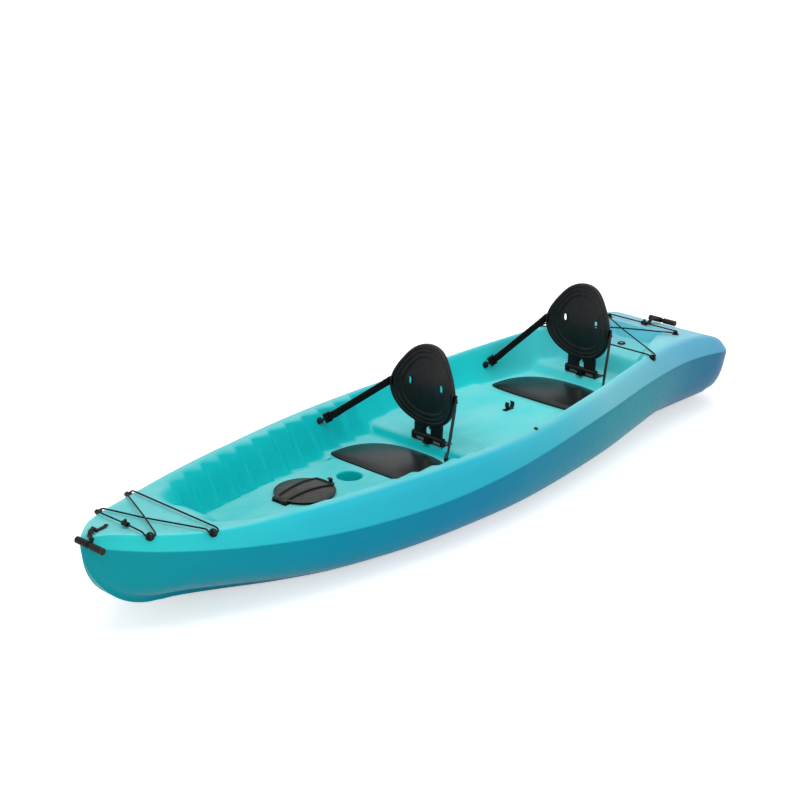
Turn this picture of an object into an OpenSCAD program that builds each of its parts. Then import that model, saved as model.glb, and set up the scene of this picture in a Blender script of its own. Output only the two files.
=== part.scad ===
// Tandem sit-on-top kayak. Millimetres, +X to the bow, +Y to port, +Z up,
// origin under the middle of the hull at its lowest point.

/* [Hull] */
// Length from stern to bow tip
length = 3350; // [3150:10:3600]
// Beam at the chine, the widest line of the hull
beam = 914; // [860:2:960]
// Height of the gunwale amidships
depth = 326; // [310:2:350]
// Thickness of the moulded wall
wall = 4.5; // [4:0.25:6]
// Width of the flat top of the gunwale
gunwale_w = 34; // [28:1:42]
// How far the gunwale stands in from the chine
gunwale_inset = 50; // [40:1:60]
// Half width of the flat strip under the keel
keel_half_w = 22; // [16:1:30]
// Height of the two tunnels beside the keel
tunnel_h = 16; // [8:1:22]

/* [Cockpit] */
// Where the front end of the cockpit meets the bow deck
well_front_x = 1275; // [1250:5:1290]
// Length of the slope at the front end of the cockpit
well_front_run = 320; // [290:5:330]
// Height of the flat that carries the hatch and the cup holder
hatch_deck_z = 205; // [195:1:212]
// Height of the foot channels beside that flat
foot_channel_z = 160; // [150:1:175]
// Height of the front seat pan
front_pan_z = 178; // [165:1:190]
// Height of the step that carries the front seat back
front_step_z = 215; // [205:1:222]
// Height of the floor between the seats
mid_floor_z = 222; // [216:1:230]
// Height of the rear seat pan
rear_pan_z = 212; // [200:1:220]
// Height of the step that carries the rear seat back
rear_step_z = 252; // [242:1:262]
// Height of the floor of the rear tank well
tank_floor_z = 322; // [310:1:330]
// Rear end of the tank well, ahead of the stern
tank_end_ahead = 425; // [415:5:440]
// Inward lean of the cockpit walls
wall_lean = 80; // [60:1:95]
// Depth of one foot step in the wall
foot_step_depth = 28; // [16:1:30]
// Distance from one foot step to the next
foot_step_pitch = 95; // [80:1:120]
// Number of foot steps on each side
foot_steps = 10; // [6:1:10]
// Front end of the row of foot steps
foot_step_front_x = 1030; // [1000:5:1050]
// Radius of the cup holder
cup_r = 46; // [40:1:50]
// Depth of the cup holder
cup_depth = 70; // [50:1:80]
// Centre of the cup holder
cup_x = 470; // [450:1:485]

/* [Seats] */
// Front seat hinge axis along the hull
front_hinge_x = 44; // [30:1:60]
// Distance between the two seats
seat_pitch = 940; // [900:5:980]
// Height of a hinge axis above its step
hinge_rise = 24; // [22:1:30]
// Radius of a hinge pin
hinge_pin_r = 4; // [3:0.25:5]
// Radial running clearance of the hinges
pin_play = 0.05; // [0.03:0.01:0.09]
// Outer radius of a hinge knuckle
knuckle_r = 11; // [9:0.5:13]
// Length of a seat back knuckle
knuckle_w = 54; // [44:1:60]
// Side play between hinge knuckles
knuckle_play = 0.5; // [0.3:0.1:1]
// Width of the bracket's middle lug
middle_lug_w = 30; // [22:1:36]
// Width of the bracket's outer ears
ear_w = 9; // [6:0.5:12]
// Height of a seat back above its hinge axis
back_h = 368; // [350:2:390]
// Widest part of a seat back
back_w = 328; // [310:2:350]
// How far the sides of a seat back curve forward
back_wrap = 24; // [10:1:34]
// Thickness of a seat back
back_t = 24; // [20:1:30]
// Forward lean of a seat back, negative when it leans aft
back_lean = -2.5; // [-6:0.5:0]
// Width of a seat pad
pad_w = 500; // [470:2:506]
// Length of a seat pad
pad_len = 258; // [236:2:266]
// Thickness of a seat pad at its crown
pad_t = 22; // [16:1:28]
// Gap from a hinge axis to its pad
pad_gap = 44; // [42:1:60]
// Width of a seat strap
strap_w = 32; // [25:1:38]
// Thickness of a seat strap
strap_t = 2.4; // [1.5:0.1:3.5]
// Strap anchor ahead of the hinge
anchor_ahead = 262; // [252:1:270]
// Height of the strap slots above the hinge axis
strap_rise = 172; // [160:1:190]

/* [Hatch] */
// Centre of the hatch along the hull
hatch_x = 695; // [680:1:710]
// Radius of the hatch opening
hatch_r = 92; // [86:1:98]
// Height of the rim above the deck
rim_h = 6; // [5:0.5:8]
// Width of the rim's flange
rim_flange = 15; // [14:1:17]
// Rise of the lid's dome
dome_h = 14; // [10:1:18]
// Thickness of the lid
lid_t = 4; // [3:0.5:5]
// Radius of the hatch hinge pin
lid_pin_r = 3; // [2.5:0.25:4]

/* [Deck fittings] */
// Diameter of the shock cord
cord_d = 6; // [5:0.5:8]
// Front pad eyes of the bow lacing, back from the bow tip
bow_eye_front_back = 175; // [155:5:195]
// Rear pad eyes of the bow lacing, back from the bow tip
bow_eye_rear_back = 365; // [345:5:385]
// Front pad eyes of the stern lacing, ahead of the stern
stern_eye_front_ahead = 690; // [675:5:705]
// Rear pad eyes of the stern lacing, ahead of the stern
stern_eye_rear_ahead = 363; // [357:2:367]
// Radius of a pad eye's foot
eye_foot_r = 15; // [12:0.5:18]
// Length of a carry handle's grip
grip_len = 134; // [120:1:150]
// Radius of a carry handle's grip
grip_r = 12; // [10:0.5:14]
// Anchor of the bow handle, back from the bow tip
bow_anchor_back = 58; // [50:1:70]
// Anchor of the stern handle, ahead of the stern
stern_anchor_ahead = 318; // [300:2:330]
// Paddle clip along the hull
clip_x = -436; // [-480:2:-400]
// Radius of the paddle shaft that the clip holds
shaft_r = 15; // [13:0.5:17]
// Drain plug, ahead of the tank well's rear end
drain_ahead = 80; // [70:2:90]
// Radius of the drain bore
drain_r = 13; // [10:0.5:16]

/* [Hidden] */
$fn = 32;
half_len = length / 2;
tank_end_x = -half_len + tank_end_ahead;
drain_x = tank_end_x + drain_ahead;
bow_eye_front_x = half_len - bow_eye_front_back;
bow_eye_rear_x = half_len - bow_eye_rear_back;
stern_eye_front_x = -half_len + stern_eye_front_ahead;
stern_eye_rear_x = -half_len + stern_eye_rear_ahead;
half_beam = beam / 2;
rear_hinge_x = front_hinge_x - seat_pitch;

// Shape of the hull, station by station: -1 is the stern and 1 the bow.
// Heights are shares of the depth and breadths shares of the half beam.
crest_rise = [[-1, 0.68], [-0.95, 0.89], [-0.89, 1.03], [-0.845, 1.1], [-0.75, 1.15], [-0.6, 1.17],
    [-0.33, 1.095], [-0.05, 1], [0.22, 0.99], [0.5, 0.985], [0.7, 0.985], [0.8, 1.005], [0.87, 1.045],
        [0.95, 1.105], [1, 1.13]];
chine_rise = [[-1, 0.68], [-0.93, 0.8], [-0.82, 0.883], [-0.6, 0.926], [-0.33, 0.871], [-0.05, 0.76],
    [0.22, 0.66], [0.49, 0.672], [0.71, 0.767], [0.87, 0.877], [1, 1]];
stern_breadth = [[-1, 0.64], [-0.88, 0.645], [-0.74, 0.655], [-0.55, 0.755], [-0.3, 0.9], [0, 1], [0.2, 1]];
bilge_breadth = [[-1, 0.34], [-0.71, 0.35], [-0.6, 0.42], [-0.335, 0.61], [-0.07, 0.733], [0.13, 0.733],
    [0.31, 0.68], [0.46, 0.56], [0.585, 0.39], [0.7, 0.2], [0.8, 0.08], [1, 0]];
inset_share = [[0.45, 1], [0.8, 0.36]];
gunwale_share = [[-800, 0.45], [0, 0.7], [400, 1]];
bow_fullness = 0.7;
nose_start = 0.94;
stem_start = 0.82;
stern_round_start = 0.86;
stern_round_power = 2.7;
transom_start = 0.955;
bow_rocker = 45;
stern_rocker = 22;
bilge_lift = 22;
deck_dip = 2;

function clamp01(t) = max(0, min(1, t));
function mix(a, b, t) = a + (b - a) * t;
function ease(t) = let (c = clamp01(t)) c * c * (3 - 2 * c);
function ramp(list, x, k = 1, i = 0) =
    x <= list[0][0] ? list[0][k]
    : i >= len(list) - 1 ? list[len(list) - 1][k]
    : x <= list[i + 1][0]
        ? mix(list[i][k], list[i + 1][k], (x - list[i][0]) / (list[i + 1][0] - list[i][0]))
    : ramp(list, x, k, i + 1);
function slope(list, i) =
    let (a = max(i - 1, 0), b = min(i + 1, len(list) - 1))
    (list[b][1] - list[a][1]) / (list[b][0] - list[a][0]);
function fair(list, s, i = 0) =
    s <= list[0][0] ? list[0][1]
    : i >= len(list) - 1 ? list[len(list) - 1][1]
    : s > list[i + 1][0] ? fair(list, s, i + 1)
    : let (h = list[i + 1][0] - list[i][0], t = (s - list[i][0]) / h, u = 1 - t)
        list[i][1] * u * u * (1 + 2 * t) + list[i + 1][1] * t * t * (1 + 2 * u)
        + h * t * u * (slope(list, i) * u - slope(list, i + 1) * t);
function round_off(t) = sqrt(max(0, 1 - t * t));

// Main lines of the hull at station s
function chine_y(s) = half_beam * (s >= 0 ? pow(max(0, 1 - s * s), bow_fullness)
    : fair(stern_breadth, s) * pow(max(0, 1 - pow(clamp01((-s - stern_round_start)
        / (1 - stern_round_start)),
        stern_round_power)), 1 / stern_round_power));
function chine_z(s) = depth * fair(chine_rise, s);
tip_z = chine_z(1);
stern_z = chine_z(-1);
function crest_z(s) = mix(tip_z, depth * fair(crest_rise, s), round_off(clamp01((s - nose_start)
    / (1 - nose_start))));
function crest_y(s) = chine_y(s) - min(gunwale_inset * ramp(inset_share, s), 0.34 * chine_y(s));
function keel_z(s) = bow_rocker * pow(clamp01((s - 0.42) / 0.42), 2)
    + (tip_z - bow_rocker) * (1 - round_off(clamp01((s - stem_start) / (1 - stem_start))))
    + stern_rocker * ease((-s - 0.4) / 0.35)
    + (stern_z - stern_rocker) * (1 - round_off(clamp01((-s - transom_start) / (1 - transom_start))));
function keel_y(s) = min(keel_half_w, 0.3 * chine_y(s));
function bilge_y(s) = max(half_beam * fair(bilge_breadth, s) * min(1, chine_y(s) / (0.5 * half_beam)),
    keel_y(s) + 0.06 * chine_y(s));

// Floor of the cockpit and tank well: x, centre height, edge height, half width of the raised middle
pan_front = pad_gap + pad_len + 10;
pan_rear = pad_gap - 14;
step_run = 24;
step_len = 93;
floor_lines = [
    [tank_end_x, tank_floor_z, tank_floor_z, 90],
    [rear_hinge_x - step_len - 2 * step_run, tank_floor_z, tank_floor_z, 170],
    [rear_hinge_x - step_len, rear_step_z, rear_step_z, 180],
    [rear_hinge_x + pan_rear - step_run, rear_step_z, rear_step_z, 190],
    [rear_hinge_x + pan_rear, rear_pan_z, rear_pan_z, 215],
    [rear_hinge_x + pan_front, rear_pan_z, rear_pan_z, 215],
    [rear_hinge_x + pan_front + step_run, mid_floor_z, mid_floor_z, 210],
    [front_hinge_x - step_len - step_run, mid_floor_z, mid_floor_z, 210],
    [front_hinge_x - step_len, front_step_z, front_step_z, 200],
    [front_hinge_x + pan_rear - step_run, front_step_z, front_step_z, 200],
    [front_hinge_x + pan_rear, front_pan_z, front_pan_z, 240],
    [front_hinge_x + pan_front, front_pan_z, front_pan_z, 240],
    [front_hinge_x + pan_front + step_run, hatch_deck_z, foot_channel_z, 170],
    [hatch_x + hatch_r + rim_flange + 60, hatch_deck_z, foot_channel_z, 165],
    [well_front_x - well_front_run, hatch_deck_z + 6, foot_channel_z + 8, 150],
    [well_front_x, hatch_deck_z + 70, foot_channel_z + 80, 60]];
tank_rise = 40;
function well_share(x) = min(ease((well_front_x - x) / well_front_run), clamp01((x - tank_end_x
    + tank_rise) / tank_rise));
function foot_step(x) = let (n = (foot_step_front_x - x) / foot_step_pitch)
    n < 0 || n >= foot_steps ? 0 : foot_step_depth * (n - floor(n));
tank_side = [[tank_end_x, 1], [rear_hinge_x - 30, 0]];
lean_share = [[tank_end_x, 0.45], [-985, 0.5], [-170, 0.6], [10, 0.92], [330, 1.05], [1030, 1]];
function wall_y(x, s) = mix(crest_y(s) - gunwale_w * ramp(gunwale_share, x), 0.52 * crest_y(s),
    ramp(tank_side, x));

// Half section at x, from the keel to the middle of the deck; steps is 1 with the foot steps and 0 without
function section(x, steps = 1) =
    let (s = x / half_len, ky = keel_y(s), kz = keel_z(s), by = bilge_y(s), cy = chine_y(s),
        cz = chine_z(s),
        tunnel = tunnel_h * clamp01((by - ky) / (0.5 * half_beam)), bz = min(kz + bilge_lift, mix(kz, cz,
            0.4)),
        ty = crest_y(s), tz = crest_z(s), w = well_share(x),
        fz = ramp(floor_lines, x, 2), pz = ramp(floor_lines, x, 1),
        lean = wall_lean * ramp(lean_share, x),
        wy = wall_y(x, s) - steps * foot_step(x), fy = wy - lean,
        py = min(ramp(floor_lines, x, 3), wall_y(x, s) - lean - foot_step_depth - 34),
        well = [[mix(ty, wy, 0.5), tz + 3], [wy, tz - 4], [mix(wy, fy, 0.14), mix(tz, fz, 0.16)],
            [mix(wy, fy, 0.86), mix(tz, fz, 0.9)], [fy - 8, fz], [py + 14, fz], [py, pz], [0.5 * py, pz],
                [0, pz]],
        share = [0.9, 0.78, 0.66, 0.54, 0.42, 0.31, 0.2, 0.1, 0])
    concat([[0, kz], [ky, kz], [mix(ky, by, 0.45), kz + tunnel], [mix(ky, by, 0.72), kz], [mix(ky, by,
        0.86), kz],
        [by, bz], [mix(by, cy, 0.42), mix(bz, cz, 0.14)], [mix(by, cy, 0.78), mix(bz, cz, 0.45)],
        [mix(by, cy, 0.955), mix(bz, cz, 0.84)], [cy, cz], [mix(cy, ty, 0.22), mix(cz, tz, 0.36)],
        [mix(cy, ty, 0.58), mix(cz, tz, 0.8)], [ty, tz]],
        [for (i = [0 : 8])
            let (f = share[i], flat = [f * ty, tz - deck_dip * (1 - f * f) * clamp01(ty / 100)])
            mix(flat, well[i], w)]);

function sorted(list) = len(list) < 2 ? list
    : let (p = list[floor(len(list) / 2)])
        concat(sorted([for (v = list) if (v < p) v]), [p], sorted([for (v = list) if (v > p) v]));
function thinned(list, gap) = [for (i = [0 : len(list) - 1]) if (i == 0 || list[i] - list[i - 1] > gap)
    list[i]];
function filled(list, step) = concat([for (i = [0 : len(list) - 2])
    let (g = list[i + 1] - list[i], k = ceil(g / step)) for (j = [0 : k - 1]) list[i] + g * j / k],
        [list[len(list) - 1]]);

floor_stations = [for (f = floor_lines) f[0]];
step_stations = [for (k = [1 : foot_steps], e = [-0.5, 9]) foot_step_front_x - k * foot_step_pitch + e];
end_stations = half_len * [-0.999, -0.992, -0.98, -0.965, -0.945, -0.92, -0.89, -0.86, 0.8, 0.84, 0.875,
    0.905, 0.93,
    0.95, 0.966, 0.979, 0.989, 0.996];
kink_stations = concat([for (t = tank_side) t[0]], [for (t = lean_share) t[0]], [for (t = gunwale_share)
    t[0]],
    [tank_end_x - tank_rise, tank_end_x - 0.5 * tank_rise, well_front_x,
        well_front_x - 0.3 * well_front_run,
    well_front_x - 0.65 * well_front_run]);
shell_stations = filled(thinned(sorted(concat(floor_stations, step_stations, end_stations,
    kink_stations)), 4), 95);

// Ring of points round the hull at x, from the keel up the port side and down the starboard side
function ring(x, half) = concat([for (p = half) [x, p[0], p[1]]],
    [for (i = [len(half) - 2 : -1 : 1]) [x, -half[i][0], half[i][1]]]);

// Closed skin over a list of rings with a point at each end
module skin(rings, first, last) {
    n = len(rings[0]);
    m = len(rings);
    points = concat([first], [for (r = rings) each r], [last]);
    tail = m * n + 1;
    polyhedron(points, concat(
        [for (j = [0 : n - 1]) [0, 1 + j, 1 + (j + 1) % n]],
        [for (i = [0 : m - 2], j = [0 : n - 1])
            let (a = 1 + i * n + j, b = 1 + i * n + (j + 1) % n, c = a + n, d = b + n)
            each (j < n / 2 ? [[a, c, b], [b, c, d]] : [[a, c, d], [a, d, b]])],
        [for (j = [0 : n - 1]) [tail, tail - n + (j + 1) % n, tail - n + j]]));
}

module outer_form() {
    skin([for (x = shell_stations) ring(x, section(x))], [-half_len, 0, stern_z], [half_len, 0, tip_z]);
}

// The hollow inside follows the outer form one wall further in
hollow_stations = filled(thinned(sorted(concat(floor_stations, half_len * [-0.975, -0.96, -0.93, -0.89,
    -0.85,
    0.8, 0.84, 0.875, 0.905, 0.93, 0.95], kink_stations)), 4), 150);
hollow_picks = [0, 2, 4, 5, 6, 7, 8, 9, 11, 12, 14, 16, 17, 18, 19, 21];
wall_spare = 1;
function left_of(d) = [-d[1], d[0]] / norm(d);
function hollow_section(x) =
    let (all = section(x, 0), p = [for (k = hollow_picks) all[k]], last = len(p) - 1)
    [for (i = [0 : last])
        let (a = left_of(p[i] - (i == 0 ? [-1, 0] + p[0] : p[i - 1])),
            b = left_of((i == last ? p[last] + [-1, 0] : p[i + 1]) - p[i]),
            n1 = i == 0 ? [0, 1] : a, n2 = i == last ? [0, -1] : b,
            q = p[i] + (wall + wall_spare) * (n1 + n2) / max(0.5, 1 + n1 * n2))
        [i == 0 || i == last ? 0 : max(q[0], 0.5), q[1]]];
module hollow_form() {
    first = hollow_stations[0];
    last = hollow_stations[len(hollow_stations) - 1];
    skin([for (x = hollow_stations) ring(x, hollow_section(x))],
        [first - 1, 0, mix(keel_z(first / half_len), crest_z(first / half_len), 0.5)],
        [last + 1, 0, mix(keel_z(last / half_len), crest_z(last / half_len), 0.5)]);
}

// Small helpers for placing fittings
function unit(v) = v / norm(v);
function flip(p, side) = [p[0], side * p[1], p[2]];
module place(p, n, t) {
    z = unit(n);
    x = unit(t - (t * z) * z);
    y = cross(z, x);
    multmatrix([[x[0], y[0], z[0], p[0]], [x[1], y[1], z[1], p[1]], [x[2], y[2], z[2], p[2]], [0, 0, 0, 1]])
        children();
}
module along_y(y0, y1, r) {
    translate([0, y0, 0]) rotate([-90, 0, 0]) cylinder(r = r, h = y1 - y0);
}

// Spot on facet i of the section at x, a share f along it, its outward direction and its run along the hull
function facet_spot(x, i, f = 0.5) = let (p = section(x), q = mix(p[i], p[i + 1], f)) [x, q[0], q[1]];
function facet_run(x, i, f = 0.5) = unit(facet_spot(x + 10, i, f) - facet_spot(x - 10, i, f));
function facet_out(x, i, f = 0.5) = let (p = section(x), d = p[i + 1] - p[i]) unit(cross([0, d[0], d[1]],
    facet_run(x, i, f)));

// Round cord along a route; corners are eased with bend
function eased(route, bend) = concat([route[0]], [for (i = [1 : len(route) - 2])
    let (p = route[i], a = route[i - 1] - p, b = route[i + 1] - p,
        da = min(bend, 0.46 * norm(a)), db = min(bend, 0.46 * norm(b)), s = p + unit(a) * da, e = p
            + unit(b) * db)
    for (t = [0, 0.25, 0.5, 0.75, 1]) s * (1 - t) * (1 - t) + 2 * p * t * (1 - t) + e * t * t],
        [route[len(route) - 1]]);
function run_at(c, i) = unit(unit(c[min(i + 1, len(c) - 1)] - c[max(i, 0) == len(c) - 1 ? i - 1 : i])
    + unit(c[max(i, 1)] - c[max(i - 1, 0)]));
module cord(route, r, bend, sides = 8) {
    c = eased(route, bend);
    rings = [for (i = [0 : len(c) - 1])
        let (t = run_at(c, i), u = unit(cross(t, [0, 0, 1])), v = cross(u, t))
        [for (k = [0 : sides - 1]) c[i] + r * (cos(360 * k / sides) * u - sin(360 * k / sides) * v)]];
    skin(rings, c[0], c[len(c) - 1]);
}

// Flat band along a route, its width lying along wide
module band(route, w, t, wide) {
    n = len(route);
    rings = [for (i = [0 : n - 1])
        let (d = run_at(route, i), a = unit(wide - (wide * d) * d), b = cross(d, a), p = route[i])
        [p - a * w / 2 - b * t / 2, p + a * w / 2 - b * t / 2, p + a * w / 2 + b * t / 2, p - a * w / 2
            + b * t / 2]];
    skin(rings, route[0], route[n - 1]);
}

// Lacing: pad eyes, their screws and the shock cord
eye_sink = 1.2;
eye_foot_t = 4;
eye_axis = 11;
eye_reach = 17;
eye_screw_off = 10.8;
screw_r = 2;
screw_head_r = 3.6;
screw_head_t = 2;
screw_len = 7;
screw_play = 0.05;
cord_r = cord_d / 2;
bow_front_facet = 11;
bow_rear_facet = 11;
stern_front_facet = 11;
stern_rear_facet = 14;
bow_eyes = [[bow_eye_front_x, bow_front_facet], [bow_eye_rear_x, bow_rear_facet]];
stern_eyes = [[stern_eye_front_x, stern_front_facet], [stern_eye_rear_x, stern_rear_facet]];
module at_eyes(eyes) {
    for (e = eyes, side = [1, -1])
        place(flip(facet_spot(e[0], e[1]) - eye_sink * facet_out(e[0], e[1]), side), flip(facet_out(e[0],
            e[1]), side),
            flip(facet_run(e[0], e[1]), side)) children();
}
module eye_body() {
    difference() {
        union() {
            cylinder(r = eye_foot_r, h = eye_foot_t);
            translate([-4.5, -8, eye_foot_t - 1]) cube([9, 16, eye_axis - eye_foot_t + 1]);
            translate([-4.5, 0, eye_axis]) rotate([0, 90, 0]) cylinder(r = 8, h = 9);
        }
        translate([-5, 0, eye_axis]) rotate([0, 90, 0]) cylinder(r = cord_r + 0.6, h = 10);
        for (k = [1, -1]) translate([k * eye_screw_off, 0, -1]) cylinder(r = screw_r + screw_play,
            h = eye_foot_t + 2, $fn = 16);
    }
}
module screw() {
    cylinder(r = screw_head_r, h = screw_head_t, $fn = 16);
    translate([0, 0, -screw_len]) cylinder(r = screw_r, h = screw_len + 0.5, $fn = 16);
}
module eye_seat_cut() {
    cylinder(r = eye_foot_r + 0.3, h = 12);
    for (k = [1, -1]) translate([k * eye_screw_off, 0, eye_foot_t - screw_len - 0.5])
        cylinder(r = screw_r + screw_play, h = screw_len, $fn = 16);
}
module eye_screws() {
    for (k = [1, -1]) translate([k * eye_screw_off, 0, eye_foot_t]) screw();
}
function eye_hole(e, side) = flip(facet_spot(e[0], e[1]) + (eye_axis - eye_sink) * facet_out(e[0], e[1]),
    side);
function eye_end(e, side, k) = eye_hole(e, side) + k * eye_reach * flip(facet_run(e[0], e[1]), side);
function over_crest(x, side) = [x, side * crest_y(x / half_len), crest_z(x / half_len) + cord_r + 6];
lock_half = 13;
lock_r = 9;
cross_gap = cord_d * 0.7;
bow_lace_front = bow_eye_front_x + eye_reach;
bow_lace_back = bow_eye_front_x - eye_reach;
bow_lock = [bow_lace_front, 30, over_crest(bow_lace_front, 1)[2] + 2];
bow_cross = (over_crest(bow_lace_back, 1) + over_crest(bow_eye_rear_x + eye_reach, -1)) / 2;
bow_cross_share = crest_y(bow_lace_back / half_len) / (crest_y(bow_lace_back / half_len)
    + crest_y((bow_eye_rear_x + eye_reach) / half_len));
bow_mid = over_crest(bow_lace_back, 1) + bow_cross_share * (over_crest(bow_eye_rear_x + eye_reach, -1)
    - over_crest(bow_lace_back, 1));
bow_route = [bow_lock + [0, 4, 0], over_crest(bow_lace_front, 1), eye_end(bow_eyes[0], 1, 1),
    eye_end(bow_eyes[0], 1, -1),
    over_crest(bow_lace_back, 1), bow_mid + [0, 0, cross_gap], over_crest(bow_eye_rear_x + eye_reach, -1),
    eye_end(bow_eyes[1], -1, 1), eye_end(bow_eyes[1], -1, -1), over_crest(bow_eye_rear_x - eye_reach, -1),
    over_crest(bow_eye_rear_x - eye_reach, 1), eye_end(bow_eyes[1], 1, -1), eye_end(bow_eyes[1], 1, 1),
    over_crest(bow_eye_rear_x + eye_reach, 1), bow_mid - [0, 0, cross_gap], over_crest(bow_lace_back, -1),
    eye_end(bow_eyes[0], -1, -1), eye_end(bow_eyes[0], -1, 1), over_crest(bow_lace_front, -1),
        bow_lock - [0, 4, 0]];
stern_lock = mix(eye_end(stern_eyes[1], 1, -1), eye_end(stern_eyes[1], -1, -1), 0.5);
stern_lace_back = stern_eye_front_x - eye_reach;
stern_lace_front = stern_eye_front_x + eye_reach;
stern_share = eye_hole(stern_eyes[1], 1)[1] / (eye_hole(stern_eyes[1], 1)[1]
    + crest_y(stern_lace_back / half_len));
stern_mid = eye_end(stern_eyes[1], 1, 1) + stern_share * (over_crest(stern_lace_back, -1)
    - eye_end(stern_eyes[1], 1, 1));
stern_route = [stern_lock + [0, 4, 0], eye_end(stern_eyes[1], 1, -1), eye_end(stern_eyes[1], 1, 1),
    stern_mid + [0, 0, cross_gap], over_crest(stern_lace_back, -1), eye_end(stern_eyes[0], -1, -1),
    eye_end(stern_eyes[0], -1, 1), over_crest(stern_lace_front, -1), over_crest(stern_lace_front, 1),
    eye_end(stern_eyes[0], 1, 1), eye_end(stern_eyes[0], 1, -1), over_crest(stern_lace_back, 1),
    stern_mid - [0, 0, cross_gap], eye_end(stern_eyes[1], -1, 1), eye_end(stern_eyes[1], -1, -1),
    stern_lock - [0, 4, 0]];
module bow_pad_eyes() { color("dimgray") at_eyes(bow_eyes) eye_body(); }
module bow_eye_screws() { color("silver") at_eyes(bow_eyes) eye_screws(); }
module stern_pad_eyes() { color("dimgray") at_eyes(stern_eyes) eye_body(); }
module stern_eye_screws() { color("silver") at_eyes(stern_eyes) eye_screws(); }
module bow_bungee() { color("black") cord(bow_route, cord_r, 11); }
module stern_bungee() { color("black") cord(stern_route, cord_r, 11); }
module lock_body() {
    difference() {
        union() {
            along_y(-lock_half, lock_half, lock_r);
            translate([0, 0, lock_r - 2]) cylinder(r = 5, h = 9);
        }
        along_y(-lock_half - 1, lock_half + 1, cord_r + 0.1);
    }
}
module bow_cord_lock() { color("dimgray") translate(bow_lock) lock_body(); }
module stern_cord_lock() { color("dimgray") translate(stern_lock) lock_body(); }

// Carry handles: a screwed anchor, a pin, a strap that turns on the pin and a moulded grip
anchor_half_w = 22;
anchor_half_len = 15;
anchor_t = 3;
handle_axis = 10;
handle_pin_r = 3;
handle_knuckle_r = 5.5;
handle_strap_w = 18;
handle_strap_t = 3;
handle_ear_w = 5;
handle_play = 0.5;
bow_anchor_x = half_len - bow_anchor_back;
stern_anchor_x = -half_len + stern_anchor_ahead;
function deck_z(x) = section(x)[21][1];
bow_anchor_z = min(deck_z(bow_anchor_x - anchor_half_len), deck_z(bow_anchor_x + anchor_half_len)) - 2.5;
stern_anchor_z = min(deck_z(stern_anchor_x - anchor_half_len), deck_z(stern_anchor_x + anchor_half_len))
    - 1;
module handle_anchor() {
    difference() {
        union() {
            translate([-anchor_half_len, -anchor_half_w, 0]) cube([2 * anchor_half_len,
                2 * anchor_half_w, anchor_t]);
            for (k = [1, -1]) {
                y0 = k * (handle_strap_w / 2 + handle_play + handle_ear_w / 2) - handle_ear_w / 2;
                translate([-handle_knuckle_r, y0, anchor_t - 0.5])
                    cube([2 * handle_knuckle_r, handle_ear_w, handle_axis - anchor_t + 0.5]);
                translate([0, 0, handle_axis]) along_y(y0, y0 + handle_ear_w, handle_knuckle_r);
            }
        }
        translate([0, 0, handle_axis]) along_y(-anchor_half_w - 1, anchor_half_w + 1, handle_pin_r);
        for (k = [1, -1]) translate([k * 10, 0, -1]) cylinder(r = screw_r + screw_play, h = anchor_t + 2,
            $fn = 16);
    }
}
module handle_screws() {
    for (k = [1, -1]) translate([k * 10, 0, anchor_t]) screw();
}
module anchor_seat_cut() {
    translate([-anchor_half_len - 0.3, -anchor_half_w - 0.3, 0]) cube([2 * anchor_half_len + 0.6,
        2 * anchor_half_w + 0.6, 25]);
    for (k = [1, -1]) translate([k * 10, 0, anchor_t - screw_len - 0.5])
        cylinder(r = screw_r + screw_play, h = screw_len, $fn = 16);
}
handle_pin_half = handle_strap_w / 2 + handle_play + handle_ear_w;
module handle_pin() { translate([0, 0, handle_axis]) along_y(-handle_pin_half, handle_pin_half,
    handle_pin_r); }
module handle_strap(route, grip) {
    axis = [0, 0, handle_axis];
    difference() {
        union() {
            translate(axis) along_y(-handle_strap_w / 2, handle_strap_w / 2, handle_knuckle_r);
            band(route, handle_strap_w, handle_strap_t, [0, 1, 0]);
            translate(grip) along_y(-handle_strap_w / 2, handle_strap_w / 2, grip_r - 3);
        }
        translate(axis) along_y(-handle_strap_w, handle_strap_w, handle_pin_r + pin_play);
    }
}
module handle_grip(grip) {
    translate(grip) difference() {
        union() {
            for (k = [1, -1]) {
                y0 = handle_strap_w / 2 + 0.05;
                y1 = grip_len / 2;
                rotate([0, 0, k < 0 ? 180 : 0]) {
                    along_y(y0, y1, grip_r - 1.5);
                    for (j = [0 : 4]) along_y(y0 + j * (y1 - y0 - 6) / 4, y0 + j * (y1 - y0 - 6) / 4 + 6,
                        grip_r);
                }
            }
        }
    }
}
bow_axis_z = bow_anchor_z + handle_axis;
bow_grip = [half_len + 6 - bow_anchor_x, 58, tip_z + 20 - bow_anchor_z];
bow_strap_route = [[4, 0, handle_axis + 3], [12, 0, handle_axis + 3], [28, 14, handle_axis + 2],
    [44, 32, handle_axis - 1], [bow_grip[0] - 10, bow_grip[1] - 1, bow_grip[2] + 20],
    [bow_grip[0] - 2, bow_grip[1], bow_grip[2] + 3]];
stern_grip_x = -half_len + 212;
stern_grip = [stern_grip_x - stern_anchor_x, 0, deck_z(stern_grip_x) + grip_r + 3 - stern_anchor_z];
stern_strap_route = [[-4, 0, handle_axis + 2], [-20, 0, handle_axis + 10], [-42, 0, handle_axis + 11],
    [-72, 0, handle_axis + 4],
    [stern_grip[0] + 4, 0, stern_grip[2] + 2]];
module bow_handle_anchor() { color("dimgray") translate([bow_anchor_x, 0, bow_anchor_z]) handle_anchor(); }
module bow_handle_screws() { color("silver") translate([bow_anchor_x, 0, bow_anchor_z]) handle_screws(); }
module bow_handle_pin() { color("silver") translate([bow_anchor_x, 0, bow_anchor_z]) handle_pin(); }
module bow_handle_strap() {
    color("black") translate([bow_anchor_x, 0, bow_anchor_z]) handle_strap(bow_strap_route, bow_grip);
}
module bow_handle_grip() { color("dimgray") translate([bow_anchor_x, 0, bow_anchor_z])
    handle_grip(bow_grip); }
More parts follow.
